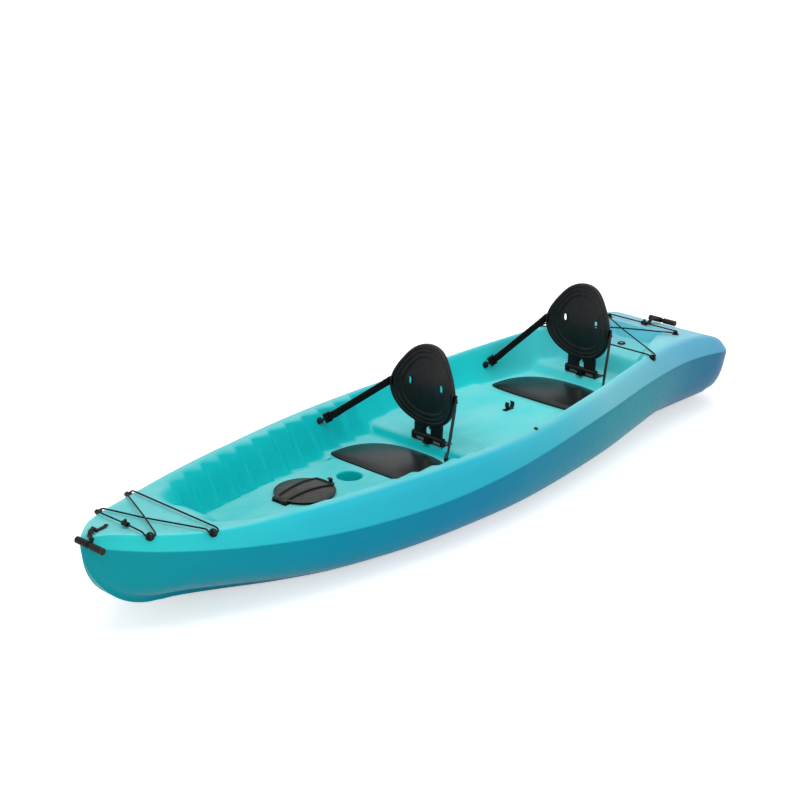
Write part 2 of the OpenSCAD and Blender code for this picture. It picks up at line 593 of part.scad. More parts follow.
module stern_handle_anchor() { color("dimgray") translate([stern_anchor_x, 0, stern_anchor_z])
    handle_anchor(); }
module stern_handle_screws() { color("silver") translate([stern_anchor_x, 0, stern_anchor_z])
    handle_screws(); }
module stern_handle_pin() { color("silver") translate([stern_anchor_x, 0, stern_anchor_z]) handle_pin(); }
module stern_handle_strap() {
    color("black") translate([stern_anchor_x, 0, stern_anchor_z]) handle_strap(stern_strap_route,
        stern_grip);
}
module stern_handle_grip() { color("dimgray") translate([stern_anchor_x, 0, stern_anchor_z])
    handle_grip(stern_grip); }

// Seats. The local origin of a seat is its hinge axis, over its step.
knuckle_in = middle_lug_w / 2 + knuckle_play;
knuckle_out = knuckle_in + knuckle_w;
ear_out = knuckle_out + knuckle_play + ear_w;
bracket_t = 4;
bracket_back = 48;
bracket_front = 5;
bracket_screws = [[-36, 56], [-36, -56]];
back_mid = 190;
back_low = 74;
back_points = 48;
back_web_top = 88;
// Rings of a seat back: inset from its outline, and depth as a share of half the thickness
back_rings = [[100, -0.66], [60, -0.66], [16, -0.66], [13, -1], [5, -1], [0, -0.6], [0, 0.6], [5, 1],
    [25, 1],
    [28, 0.66], [53, 0.66], [56, 0.25], [100, 0.25]];
function back_spot(inset, depth, i) =
    let (a = 360 * i / back_points - 90, s = sin(a), y = (back_w / 2 - inset) * cos(a),
        z = back_mid + ((s > 0 ? back_h - back_mid : back_mid - back_low) - inset) * s)
    [back_wrap * pow(2 * y / back_w, 2) + depth * back_t / 2, y, z];
module back_panel() {
    difference() {
        skin([for (r = back_rings) [for (i = [0 : back_points - 1]) back_spot(r[0], r[1], i)]],
            [-0.33 * back_t, 0, back_mid], [0.125 * back_t, 0, back_mid]);
        for (k = [1, -1]) {
            translate([-100, k * 80, 215]) rotate([0, 90, 0]) linear_extrude(200) hull() {
                translate([6, 0]) circle(r = 7, $fn = 24);
                translate([-6, 0]) circle(r = 7, $fn = 24);
            }
            translate([-100, k * (back_w / 2 - 13) - 3, strap_rise - strap_w / 2 - 2]) cube([200, 6,
                strap_w + 4]);
        }
    }
}
module back_web() {
    t = back_t - 9;
    in = knuckle_in + 1.5;
    out = knuckle_out - 1.5;
    translate([-t / 2, 0, 0]) rotate([90, 0, 90]) linear_extrude(t) polygon([[-out, 6], [-out, back_web_top],
        [out, back_web_top], [out, 6], [in, 6], [in, 34],
        [7, 34], [7, 66], [-7, 66], [-7, 34], [-in, 34], [-in, 6]]);
}
module seat_back() {
    difference() {
        union() {
            rotate([0, back_lean, 0]) back_panel();
            rotate([0, back_lean, 0]) back_web();
            for (y0 = [knuckle_in, -knuckle_out]) along_y(y0, y0 + knuckle_w, knuckle_r);
        }
        along_y(-ear_out, ear_out, hinge_pin_r + pin_play);
    }
}
module seat_bracket() {
    difference() {
        union() {
            translate([-bracket_back, -ear_out, -hinge_rise]) cube([bracket_back + bracket_front,
                2 * ear_out, bracket_t]);
            translate([0, -14, -hinge_rise]) cube([20, 28, bracket_t]);
            for (y = [-ear_out, -middle_lug_w / 2, ear_out - ear_w]) {
                w = y > -ear_out && y < 0 ? middle_lug_w : ear_w;
                along_y(y, y + w, knuckle_r);
                translate([-knuckle_r, y, -hinge_rise + bracket_t - 0.5]) cube([2 * knuckle_r, w,
                    hinge_rise - bracket_t + 0.5]);
            }
        }
        along_y(-ear_out - 1, ear_out + 1, hinge_pin_r);
        for (p = bracket_screws) translate([p[0], p[1], -hinge_rise - 1])
            cylinder(r = screw_r + screw_play, h = bracket_t + 2, $fn = 16);
    }
}
module seat_screws() {
    for (p = bracket_screws) translate([p[0], p[1], -hinge_rise + bracket_t]) screw();
}
module bracket_screw_cut() {
    for (p = bracket_screws) translate([p[0], p[1], -hinge_rise + bracket_t - screw_len - 0.5])
        cylinder(r = screw_r + screw_play, h = screw_len, $fn = 16);
}
module seat_pin() {
    along_y(-ear_out - 3, ear_out + 3, hinge_pin_r);
}
pad_nose = 32;
pad_power = 2.6;
pad_half_w = pad_w / 2;
pad_steps = 44;
function pad_edge(a) = let (c = cos(a), s = sin(a), p = 2 / pad_power)
    [(s >= 0 ? pad_nose : pad_len - pad_nose) * sign(s) * pow(abs(s), s >= 0 ? 0.55 : p),
        pad_half_w * sign(c) * pow(abs(c), p)];
pad_levels = [[0.965, 0], [0.995, 0.25], [1, 0.5], [0.985, 0.8], [0.95, 0.97], [0.88, 1], [0.7, 0.9],
    [0.45, 0.76], [0.2, 0.7]];
module seat_pad_form() {
    rings = [for (l = pad_levels) [for (i = [0 : pad_steps - 1])
        let (e = pad_edge(-360 * i / pad_steps), c = 0.42 * pad_len)
        [pad_gap + pad_len - pad_nose - c + (e[0] + c) * l[0], e[1] * l[0], l[1] * pad_t]]];
    skin(rings, [pad_gap + pad_len - pad_nose - 0.42 * pad_len, 0, 0], [pad_gap
        + pad_len - pad_nose - 0.42 * pad_len, 0, 0.68 * pad_t]);
}

// Strap anchors on the cockpit wall
strap_sink = 1.5;
strap_foot_r = 14;
anchor_z = 287;
wall_facet = 15;
function anchor_share(hx) = let (p = section(hx + anchor_ahead))
    clamp01((p[wall_facet][1] - anchor_z) / (p[wall_facet][1] - p[wall_facet + 1][1]));
function strap_spot(hx) = facet_spot(hx + anchor_ahead, wall_facet, anchor_share(hx));
function strap_out(hx) = facet_out(hx + anchor_ahead, wall_facet, anchor_share(hx));
function strap_start(hx, hz) = [hx + strap_rise * sin(back_lean) + back_wrap - 6, back_w / 2 + 5, hz
    + strap_rise * cos(back_lean)];
module at_strap_anchor(hx, side) {
    place(flip(strap_spot(hx) - strap_sink * strap_out(hx), side), flip(strap_out(hx), side), [1, 0, 0])
        children();
}
front_hinge_z = front_step_z + hinge_rise;
rear_hinge_z = rear_step_z + hinge_rise;
stem_len = 17;
buckle_len = 30;
stem_rise = 4.2;
stem_r = 5.2;
foot_screw_off = 10.2;
function strap_root(hx) = strap_spot(hx) + stem_rise * strap_out(hx);
function strap_run(hx, hz) = unit(strap_start(hx, hz) - strap_root(hx));
module at_strap_stem(hx, hz, side, off) {
    place(flip(strap_root(hx) + off * strap_run(hx, hz), side), flip(strap_run(hx, hz), side), [0, 0, 1])
        children();
}
module strap_anchor_pair(hx, hz) {
    for (side = [1, -1]) {
        difference() {
            at_strap_anchor(hx, side) cylinder(r = strap_foot_r, h = 6);
            at_strap_anchor(hx, side) for (k = [1, -1]) translate([0, k * foot_screw_off, -1])
                cylinder(r = screw_r + screw_play, h = 10, $fn = 16);
        }
        at_strap_stem(hx, hz, side, 0) cylinder(r = stem_r, h = stem_len);
    }
}
module strap_screw_set(hx) {
    for (side = [1, -1]) at_strap_anchor(hx, side) for (k = [1, -1])
        translate([0, k * foot_screw_off, 6]) screw();
}
module strap_anchor_cut(hx) {
    for (side = [1, -1]) at_strap_anchor(hx, side) {
        cylinder(r = strap_foot_r + 0.3, h = 60);
        for (k = [1, -1]) translate([0, k * foot_screw_off, 6 - screw_len - 0.5])
            cylinder(r = screw_r + screw_play, h = screw_len, $fn = 16);
    }
}
module strap_buckle_pair(hx, hz) {
    for (side = [1, -1]) at_strap_stem(hx, hz, side, stem_len) difference() {
        translate([-strap_w / 2 - 4, -5, 0]) cube([strap_w + 8, 10, buckle_len]);
        translate([-strap_w / 2 - 0.6, -strap_t / 2 - 0.6, 5]) cube([strap_w + 1.2, strap_t + 1.2,
            buckle_len]);
        for (k = [0, 1]) translate([-strap_w / 2 - 0.6, strap_t / 2, 9 + 10 * k]) cube([strap_w + 1.2, 8,
            6]);
    }
}
module seat_strap(hx, hz, side) {
    a = flip(strap_root(hx) + (stem_len + 8) * strap_run(hx, hz), side);
    b = flip(strap_start(hx, hz), side);
    band([a, a * 0.5 + b * 0.5, b, b + [-10, -side * 5, 0], b + [-17, -side * 24, 0]], strap_w, strap_t,
        [0, 0, 1]);
}
module at_front_seat() { translate([front_hinge_x, 0, front_hinge_z]) children(); }
module at_rear_seat() { translate([rear_hinge_x, 0, rear_hinge_z]) children(); }
module front_seat_back() { color("black") at_front_seat() seat_back(); }
module front_seat_bracket() { color("dimgray") at_front_seat() seat_bracket(); }
module front_seat_pin() { color("silver") at_front_seat() seat_pin(); }
module front_seat_screws() { color("silver") at_front_seat() seat_screws(); }
module front_seat_pad() { color("dimgray") translate([front_hinge_x, 0, front_pan_z]) seat_pad_form(); }
module front_strap_anchors() { color("dimgray") strap_anchor_pair(front_hinge_x, front_hinge_z); }
module front_strap_screws() { color("silver") strap_screw_set(front_hinge_x); }
module front_strap_buckles() { color("black") strap_buckle_pair(front_hinge_x, front_hinge_z); }
module front_strap_port() { color("black") seat_strap(front_hinge_x, front_hinge_z, 1); }
module front_strap_starboard() { color("black") seat_strap(front_hinge_x, front_hinge_z, -1); }
module rear_seat_back() { color("black") at_rear_seat() seat_back(); }
module rear_seat_bracket() { color("dimgray") at_rear_seat() seat_bracket(); }
module rear_seat_pin() { color("silver") at_rear_seat() seat_pin(); }
module rear_seat_screws() { color("silver") at_rear_seat() seat_screws(); }
module rear_seat_pad() { color("dimgray") translate([rear_hinge_x, 0, rear_pan_z]) seat_pad_form(); }
module rear_strap_anchors() { color("dimgray") strap_anchor_pair(rear_hinge_x, rear_hinge_z); }
module rear_strap_screws() { color("silver") strap_screw_set(rear_hinge_x); }
module rear_strap_buckles() { color("black") strap_buckle_pair(rear_hinge_x, rear_hinge_z); }
module rear_strap_port() { color("black") seat_strap(rear_hinge_x, rear_hinge_z, 1); }
module rear_strap_starboard() { color("black") seat_strap(rear_hinge_x, rear_hinge_z, -1); }

// Hatch: rim in the deck, gasket, domed lid on a hinge at its bow edge, two straps and a hook
flange_t = 2.5;
rim_in = hatch_r;
rim_hole_r = hatch_r + wall + 1;
rim_out = hatch_r + rim_flange;
seal_t = 1.5;
lid_r = hatch_r + rim_flange + 6;
lid_z = hatch_deck_z + rim_h + seal_t;
lid_axis_x = hatch_x + lid_r + 9;
lid_axis_z = lid_z + 2.5;
lid_knuckle_r = 5.5;
hatch_hook_x = hatch_x - lid_r - 9;
module ring_of(r0, r1, z0, z1) {
    translate([hatch_x, 0, z0]) difference() {
        cylinder(r = r1, h = z1 - z0, $fn = 64);
        translate([0, 0, -1]) cylinder(r = r0, h = z1 - z0 + 2, $fn = 64);
    }
}
module hatch_rim() {
    color("dimgray") {
        ring_of(rim_in, rim_out, hatch_deck_z, hatch_deck_z + flange_t);
        ring_of(rim_in, rim_in + 5, hatch_deck_z + flange_t - 0.5, hatch_deck_z + rim_h);
        ring_of(rim_in, rim_hole_r - 0.2, hatch_deck_z - 2 * wall, hatch_deck_z + 0.5);
        difference() {
            union() {
                translate([hatch_x + rim_out - 8, -36, hatch_deck_z])
                    cube([lid_axis_x - hatch_x - rim_out + 16, 72, flange_t]);
                for (k = [1, -1]) {
                    y0 = k > 0 ? 26 : -34;
                    translate([lid_axis_x - lid_knuckle_r, y0, hatch_deck_z + 1])
                        cube([2 * lid_knuckle_r, 8, lid_axis_z - hatch_deck_z - 1]);
                    translate([lid_axis_x, 0, lid_axis_z]) along_y(y0, y0 + 8, lid_knuckle_r);
                }
            }
            translate([lid_axis_x, 0, lid_axis_z]) along_y(-40, 40, lid_pin_r);
        }
    }
}
module hatch_gasket() { color("black") ring_of(rim_in + 0.5, rim_in + 4.5, hatch_deck_z + rim_h, lid_z); }
module hatch_hinge_pin() { color("silver") translate([lid_axis_x, 0, lid_axis_z]) along_y(-34, 34,
    lid_pin_r); }
function dome_z(r) = lid_z + lid_t + dome_h * (1 - pow(r / lid_r, 2));
module hatch_lid() {
    color("darkslategray") {
        translate([hatch_x, 0, 0]) rotate_extrude($fn = 64) polygon(concat([[0, lid_z + dome_h],
            [rim_in - 4, lid_z]],
            [[lid_r, lid_z], [lid_r, lid_z + lid_t]], [for (i = [7 : -1 : 0]) [lid_r * i / 8,
                dome_z(lid_r * i / 8)]]));
        difference() {
            union() {
                for (k = [1, -1]) {
                    y0 = k > 0 ? 12 : -25.5;
                    translate([lid_axis_x, 0, lid_axis_z]) along_y(y0, y0 + 13.5, lid_knuckle_r);
                    translate([hatch_x + lid_r - 8, y0, lid_z]) cube([lid_axis_x - hatch_x - lid_r + 8,
                        13.5, lid_t]);
                }
            }
            translate([lid_axis_x, 0, lid_axis_z]) along_y(-40, 40, lid_pin_r + pin_play);
        }
    }
}
hatch_strap_aft = 44;
hatch_strap_fore = 26;
hatch_strap_w = 9;
hatch_strap_t = 3;
function over_lid(x, y) = [hatch_x + x, y, dome_z(norm([abs(x) + 0, abs(y) - hatch_strap_w / 2]))
    + hatch_strap_t / 2 + 0.6];
module hatch_straps() {
    color("black") {
        for (k = [1, -1])
            band([for (i = [0 : 8]) over_lid((lid_r - 12) * (i / 4 - 1),
                k * mix(hatch_strap_aft, hatch_strap_fore, i / 8))],
                hatch_strap_w, hatch_strap_t, [0, 1, 0]);
        band([over_lid(-(lid_r - 12) + 1, -hatch_strap_aft) + [0, -2, 0], over_lid(-(lid_r - 12) + 1, 0)
            + [0, 0, 1.2],
            over_lid(-(lid_r - 12) + 1, hatch_strap_aft) + [0, 2, 0]], 9, hatch_strap_t, [1, 0, 0]);
    }
}
module hatch_hook() {
    color("dimgray") translate([hatch_hook_x, 0, hatch_deck_z]) difference() {
        union() {
            translate([-12, -13, 0]) cube([20, 26, 3]);
            translate([-10, -8, 2]) cube([6, 16, lid_z - hatch_deck_z + lid_t + 6]);
            translate([-10, -8, lid_z - hatch_deck_z + lid_t + 4]) cube([12, 16, 4]);
        }
        translate([2.5, 0, -1]) for (k = [1, -1]) translate([0, 8.5 * k, 0]) cylinder(r = screw_r
            + screw_play, h = 6, $fn = 16);
    }
}
module hatch_hook_screws() {
    color("silver") translate([hatch_hook_x + 2.5, 0, hatch_deck_z + 3]) for (k = [1, -1]) translate([0,
        8.5 * k, 0]) screw();
}
module hook_screw_cut() {
    translate([hatch_hook_x + 2.5, 0, hatch_deck_z + 3 - screw_len - 0.5]) for (k = [1, -1])
        translate([0, 8.5 * k, 0])
        cylinder(r = screw_r + screw_play, h = screw_len, $fn = 16);
}

// Paddle clip, open at the top, with a screwed tongue towards the bow
clip_t = 4;
clip_w = 18;
clip_axis = clip_t + shaft_r;
clip_gap = 1.3 * shaft_r;
clip_tongue = 34;
module paddle_clip() {
    color("black") translate([clip_x, 0, mid_floor_z]) {
        difference() {
            union() {
                translate([0, 0, clip_axis]) along_y(-clip_w / 2, clip_w / 2, shaft_r + clip_t);
                translate([-shaft_r, -clip_w / 2, 0]) cube([2 * shaft_r, clip_w, clip_t]);
                translate([0, -clip_w / 2, 0]) cube([clip_tongue, clip_w, clip_t]);
            }
            translate([0, 0, clip_axis]) along_y(-clip_w, clip_w, shaft_r);
            translate([-clip_gap / 2, -clip_w, clip_axis]) cube([clip_gap, 2 * clip_w, 2 * shaft_r]);
            translate([-2 * shaft_r, -clip_w, clip_axis + 0.75 * shaft_r]) cube([4 * shaft_r, 2 * clip_w,
                shaft_r]);
            translate([clip_tongue - 7, 0, -1]) cylinder(r = screw_r + screw_play, h = 2 * clip_t,
                $fn = 16);
            translate([-40, -20, -20]) cube([80, 40, 20]);
        }
    }
}
module paddle_clip_screw() {
    color("silver") translate([clip_x + clip_tongue - 7, 0, mid_floor_z + clip_t]) screw();
}
module clip_screw_cut() {
    translate([clip_x + clip_tongue - 7, 0, mid_floor_z + clip_t - screw_len - 0.5])
        cylinder(r = screw_r + screw_play, h = screw_len, $fn = 16);
}

// Plugs in the gunwale beside the middle of the cockpit
plug_x = -123;
plug_r = 8;
plug_facet = 12;
module at_plugs() {
    for (side = [1, -1])
        place(flip(facet_spot(plug_x, plug_facet), side), flip(facet_out(plug_x, plug_facet), side), [1,
            0, 0]) children();
}
module gunwale_plugs() {
    color("black") at_plugs() {
        translate([0, 0, -1]) cylinder(r = plug_r, h = 4);
        translate([0, 0, -5]) cylinder(r = 3, h = 5);
    }
}
module plug_cut() {
    at_plugs() {
        translate([0, 0, -1]) cylinder(r = plug_r + 0.3, h = 12);
        translate([0, 0, -5.5]) cylinder(r = 3.05, h = 6);
    }
}

// Drain plug that turns in the tank well floor
drain_play = 0.06;
module drain_plug() {
    color("dimgray") translate([drain_x, 0, tank_floor_z]) difference() {
        union() {
            translate([0, 0, -2 * wall]) cylinder(r = drain_r - drain_play, h = 2 * wall + 1);
            cylinder(r = drain_r + 4, h = 4);
            translate([-drain_r, -2.5, 3]) cube([2 * drain_r, 5, 8]);
        }
        translate([0, 0, -2 * wall - 1]) cylinder(r = drain_r - 5, h = 2 * wall);
    }
}

module hull_shell() {
    color("darkturquoise")
    difference() {
        outer_form();
        difference() {
            hollow_form();
            translate([cup_x, 0, hatch_deck_z - cup_depth - wall])
                cylinder(r = cup_r + wall, h = cup_depth + 2 * wall);
        }
        translate([cup_x, 0, hatch_deck_z - cup_depth]) cylinder(r = cup_r, h = cup_depth + 1);
        translate([hatch_x, 0, hatch_deck_z - 4 * wall]) cylinder(r = rim_hole_r, h = 4 * wall + 1);
        translate([drain_x, 0, tank_floor_z - 4 * wall]) cylinder(r = drain_r, h = 4 * wall + 1);
        at_eyes(bow_eyes) eye_seat_cut();
        at_eyes(stern_eyes) eye_seat_cut();
        translate([bow_anchor_x, 0, bow_anchor_z]) anchor_seat_cut();
        translate([stern_anchor_x, 0, stern_anchor_z]) anchor_seat_cut();
        at_front_seat() bracket_screw_cut();
        at_rear_seat() bracket_screw_cut();
        strap_anchor_cut(front_hinge_x);
        strap_anchor_cut(rear_hinge_x);
        hook_screw_cut();
        clip_screw_cut();
        plug_cut();
    }
}

hull_shell();
hatch_rim();
hatch_gasket();
hatch_lid();
hatch_hinge_pin();
hatch_straps();
hatch_hook();
hatch_hook_screws();
bow_handle_anchor();
bow_handle_screws();
bow_handle_pin();
bow_handle_strap();
bow_handle_grip();
stern_handle_anchor();
stern_handle_screws();
stern_handle_pin();
stern_handle_strap();
stern_handle_grip();
bow_pad_eyes();
bow_eye_screws();
bow_bungee();
bow_cord_lock();
stern_pad_eyes();
stern_eye_screws();
stern_bungee();
stern_cord_lock();
front_seat_back();
front_seat_bracket();
front_seat_pin();
front_seat_screws();
front_seat_pad();
front_strap_anchors();
front_strap_screws();
front_strap_buckles();
front_strap_port();
front_strap_starboard();
rear_seat_back();
rear_seat_bracket();
rear_seat_pin();
rear_seat_screws();
rear_seat_pad();
rear_strap_anchors();
rear_strap_screws();
rear_strap_buckles();
rear_strap_port();
rear_strap_starboard();
paddle_clip();
paddle_clip_screw();
gunwale_plugs();
drain_plug();
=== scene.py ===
"""Dresses a sit-on-top tandem kayak over its CAD frame, in millimetres unless a comment says metres."""

import math
from math import cos, pi, radians, sin

import bmesh
import bpy
import numpy as np
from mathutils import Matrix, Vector
from numpy.linalg import norm


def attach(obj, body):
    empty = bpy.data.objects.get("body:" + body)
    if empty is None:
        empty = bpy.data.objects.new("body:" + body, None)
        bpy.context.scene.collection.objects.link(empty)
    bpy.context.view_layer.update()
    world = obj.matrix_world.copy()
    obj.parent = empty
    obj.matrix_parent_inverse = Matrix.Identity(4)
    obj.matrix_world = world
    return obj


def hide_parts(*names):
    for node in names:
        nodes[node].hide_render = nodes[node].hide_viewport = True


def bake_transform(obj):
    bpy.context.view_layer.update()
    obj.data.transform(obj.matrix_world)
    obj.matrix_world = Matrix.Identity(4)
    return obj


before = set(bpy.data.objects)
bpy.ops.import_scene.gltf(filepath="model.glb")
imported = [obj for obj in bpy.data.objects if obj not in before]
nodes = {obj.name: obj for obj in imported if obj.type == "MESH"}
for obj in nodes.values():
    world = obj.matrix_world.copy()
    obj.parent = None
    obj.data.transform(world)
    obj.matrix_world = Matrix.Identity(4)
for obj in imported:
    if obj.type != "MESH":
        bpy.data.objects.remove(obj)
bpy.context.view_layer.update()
scene = bpy.context.scene
scene.view_settings.view_transform = "Standard"
MM = 0.001


def shown(name, data):
    obj = bpy.data.objects.new(name, data)
    scene.collection.objects.link(obj)
    return obj


# Camera at the photograph's angle, placed in metres
AZIMUTH = radians(133.8)
ELEVATION = radians(20.24)
DISTANCE = 6.623
TARGET = Vector((0.2011, 0.0, 0.4296))
FRAME_PX = 800
FOCAL_PX = 1771
SENSOR_W = 36
level = cos(ELEVATION)
back = Vector((sin(AZIMUTH) * level, -cos(AZIMUTH) * level, sin(ELEVATION)))
camera_data = bpy.data.cameras.new("camera")
camera_data.sensor_width = SENSOR_W
camera_data.lens = FOCAL_PX / FRAME_PX * SENSOR_W
camera_data.clip_start = 0.05
camera_data.clip_end = 100
camera = shown("camera", camera_data)
camera.location = TARGET + back * DISTANCE
camera.rotation_mode = "QUATERNION"
camera.rotation_quaternion = (-back).to_track_quat("-Z", "Y")
scene.camera = camera

# Sizes of the hull and fittings, as in the part's source
HALF_LEN = 1675.0
HALF_BEAM = 457.0
DEPTH = 326.0
WALL = 4.5
BOW_FULLNESS = 0.7
STERN_POWER = 2.7
STERN_ROUND_AT = 0.86
STERN_ROUND_RUN = 0.14
BOW_ROCKER = 45.0
STERN_ROCKER = 22.0
BILGE_RISE = 22.0
GUNWALE_W = 34.0
GUNWALE_INSET = 50.0
KEEL_HALF_W = 22.0
TUNNEL_H = 16.0
WELL_LIP = 40.0
CHANNEL_W = 34.0
PODIUM_RUN = 14.0
HATCH_DECK_Z = 205.0
FOOT_CHANNEL_Z = 160.0
FRONT_PAN_Z = 178.0
FRONT_STEP_Z = 215.0
MID_FLOOR_Z = 222.0
REAR_PAN_Z = 212.0
REAR_STEP_Z = 252.0
TANK_FLOOR_Z = 322.0
TANK_END_X = -1250.0
WALL_LEAN = 80.0
FOOT_STEP_DEPTH = 28.0
FOOT_STEP_PITCH = 95.0
CUP_R = 46.0
CUP_DEPTH = 70.0
CUP_X = 470.0
FRONT_HINGE_X = 44.0
REAR_HINGE_X = -896.0
HINGE_RISE = 24.0
PAD_GAP = 44.0
PAD_LEN = 258.0
PAD_W = 500.0
PAD_T = 22.0
PAD_NOSE = 32.0
PAD_POWER = 2.6
BACK_H = 368.0
BACK_W = 328.0
BACK_WRAP = 24.0
BACK_LEAN = radians(-2.5)
BACK_MID = 190.0
STRAP_W = 32.0
STRAP_T = 2.4
STRAP_RISE = 172.0
ANCHOR_AHEAD = 262.0
ANCHOR_Z = 287.0
ANCHOR_LIFT = 4.2
HATCH_X = 695.0
HATCH_R = 92.0
RIM_H = 6.0
RIM_FLANGE = 15.0
DOME_H = 14.0
LID_T = 4.0
CORD_D = 6.0
DRAIN_X = -1170.0
DRAIN_R = 13.0
BOW_EYES = ((1500.0, 11), (1310.0, 11))
STERN_EYES = ((-985.0, 11), (-1312.0, 14))

# Sizes that follow the photograph more closely than the source does
WELL_FRONT_X = 1290.0
WELL_FRONT_RUN = 220.0
FOOT_STEPS = 12
FOOT_STEP_FRONT_X = 1220.0
BACK_LOW = 47.0
BACK_BELLY = 20.0
STRAP_LIFT = 26.0
STRAP_TWIST = radians(-8)

# Hull lines along s = x / HALF_LEN, as shares of the depth or the half beam
CREST_RISE = (
    (-1, 0.68), (-0.95, 0.89), (-0.89, 1.03), (-0.845, 1.1), (-0.75, 1.15),
    (-0.6, 1.17), (-0.33, 1.095), (-0.05, 1), (0.22, 0.99), (0.5, 0.985),
    (0.7, 0.985), (0.8, 1.005), (0.87, 1.045), (0.95, 1.105), (1, 1.13),
)
CHINE_RISE = (
    (-1, 0.68), (-0.93, 0.8), (-0.82, 0.883), (-0.6, 0.926), (-0.33, 0.871),
    (-0.05, 0.76), (0.22, 0.66), (0.49, 0.672), (0.71, 0.767), (0.87, 0.877), (1, 1),
)
STERN_BREADTH = (
    (-1, 0.64), (-0.88, 0.645), (-0.74, 0.655), (-0.55, 0.755), (-0.3, 0.9), (0, 1), (0.2, 1),
)
BILGE_BREADTH = (
    (-1, 0.34), (-0.71, 0.35), (-0.6, 0.42), (-0.335, 0.61), (-0.07, 0.733), (0.13, 0.733),
    (0.31, 0.68), (0.46, 0.56), (0.585, 0.39), (0.7, 0.2), (0.8, 0.08), (1, 0),
)
INSET_SHARE = ((0.45, 1), (0.8, 0.36))

# Cockpit lines along x
GUNWALE_SHARE = ((-800, 0.45), (0, 0.7), (400, 1))
TANK_SIDE = ((TANK_END_X, 1), (REAR_HINGE_X - 30, 0))
LEAN_SHARE = (
    (TANK_END_X, 0.45), (-985, 0.5), (-170, 0.6), (10, 0.92), (330, 1.05), (1030, 1),
)
PAN_FRONT = PAD_GAP + PAD_LEN + 10
PAN_REAR = PAD_GAP - 14
STEP_RUN = 24.0
STEP_LEN = 93.0

# Cockpit floor: x, height in the middle, height at the sides, half width of the middle
FLOOR_LINES = (
    (TANK_END_X, TANK_FLOOR_Z, TANK_FLOOR_Z, 90),
    (REAR_HINGE_X - STEP_LEN - 2 * STEP_RUN, TANK_FLOOR_Z, TANK_FLOOR_Z, 170),
    (REAR_HINGE_X - STEP_LEN, REAR_STEP_Z, REAR_STEP_Z, 180),
    (REAR_HINGE_X + PAN_REAR - STEP_RUN, REAR_STEP_Z, REAR_STEP_Z, 190),
    (REAR_HINGE_X + PAN_REAR, REAR_PAN_Z, REAR_PAN_Z, 215),
    (REAR_HINGE_X + PAN_FRONT, REAR_PAN_Z, REAR_PAN_Z, 215),
    (REAR_HINGE_X + PAN_FRONT + STEP_RUN, MID_FLOOR_Z, MID_FLOOR_Z, 210),
    (FRONT_HINGE_X - STEP_LEN - STEP_RUN, MID_FLOOR_Z, MID_FLOOR_Z, 210),
    (FRONT_HINGE_X - STEP_LEN, FRONT_STEP_Z, FRONT_STEP_Z, 200),
    (FRONT_HINGE_X + PAN_REAR - STEP_RUN, FRONT_STEP_Z, FRONT_STEP_Z, 200),
    (FRONT_HINGE_X + PAN_REAR, FRONT_PAN_Z, FRONT_PAN_Z, 240),
    (FRONT_HINGE_X + PAN_FRONT, FRONT_PAN_Z, FRONT_PAN_Z, 240),
    (FRONT_HINGE_X + PAN_FRONT + STEP_RUN, HATCH_DECK_Z, FOOT_CHANNEL_Z, 170),
    (HATCH_X + HATCH_R + RIM_FLANGE + 60, HATCH_DECK_Z, FOOT_CHANNEL_Z, 165),
    (WELL_FRONT_X - WELL_FRONT_RUN, HATCH_DECK_Z + 6, FOOT_CHANNEL_Z + 8, 150),
    (WELL_FRONT_X, HATCH_DECK_Z + 70, FOOT_CHANNEL_Z + 80, 60),
)


def clamp01(t):
    return min(1.0, max(0.0, t))


def mix(a, b, t):
    return a + (b - a) * t


def ease(t):
    c = clamp01(t)
    return c * c * (3 - 2 * c)


def ramp(table, x, k=1):
    return float(np.interp(x, [r[0] for r in table], [r[k] for r in table]))


def slope(table, i):
    a, b = max(i - 1, 0), min(i + 1, len(table) - 1)
    return (table[b][1] - table[a][1]) / (table[b][0] - table[a][0])


def fair(table, s):
    if s <= table[0][0]:
        return table[0][1]
    if s >= table[-1][0]:
        return table[-1][1]
    i = max(k for k in range(len(table) - 1) if table[k][0] <= s)
    h = table[i + 1][0] - table[i][0]
    t = (s - table[i][0]) / h
    u = 1 - t
    return (
        table[i][1] * u * u * (1 + 2 * t)
        + table[i + 1][1] * t * t * (1 + 2 * u)
        + h * t * u * (slope(table, i) * u - slope(table, i + 1) * t)
    )


def round_off(t):
    return math.sqrt(max(0.0, 1 - t * t))


def chine_y(s):
    if s >= 0:
        return HALF_BEAM * max(0.0, 1 - s * s) ** BOW_FULLNESS
    end = clamp01((-s - STERN_ROUND_AT) / STERN_ROUND_RUN)
    return HALF_BEAM * fair(STERN_BREADTH, s) * max(0.0, 1 - end**STERN_POWER) ** (1 / STERN_POWER)


def chine_z(s):
    return DEPTH * fair(CHINE_RISE, s)


TIP_Z = chine_z(1)
STERN_Z = chine_z(-1)


def crest_z(s):
    return mix(TIP_Z, DEPTH * fair(CREST_RISE, s), round_off(clamp01((s - 0.94) / 0.06)))


def crest_y(s):
    y = chine_y(s)
    return y - min(GUNWALE_INSET * ramp(INSET_SHARE, s), 0.34 * y)


def keel_z(s):
    bow = BOW_ROCKER * clamp01((s - 0.42) / 0.42) ** 2
    stem = (TIP_Z - BOW_ROCKER) * (1 - round_off(clamp01((s - 0.82) / 0.18)))
    stern = STERN_ROCKER * ease((-s - 0.4) / 0.35)
    transom = (STERN_Z - STERN_ROCKER) * (1 - round_off(clamp01((-s - 0.955) / 0.045)))
    return bow + stem + stern + transom


def keel_y(s):
    return min(KEEL_HALF_W, 0.3 * chine_y(s))


def bilge_y(s):
    y = chine_y(s)
    wide = HALF_BEAM * fair(BILGE_BREADTH, s) * min(1, y / (0.5 * HALF_BEAM))
    return max(wide, keel_y(s) + 0.06 * y)


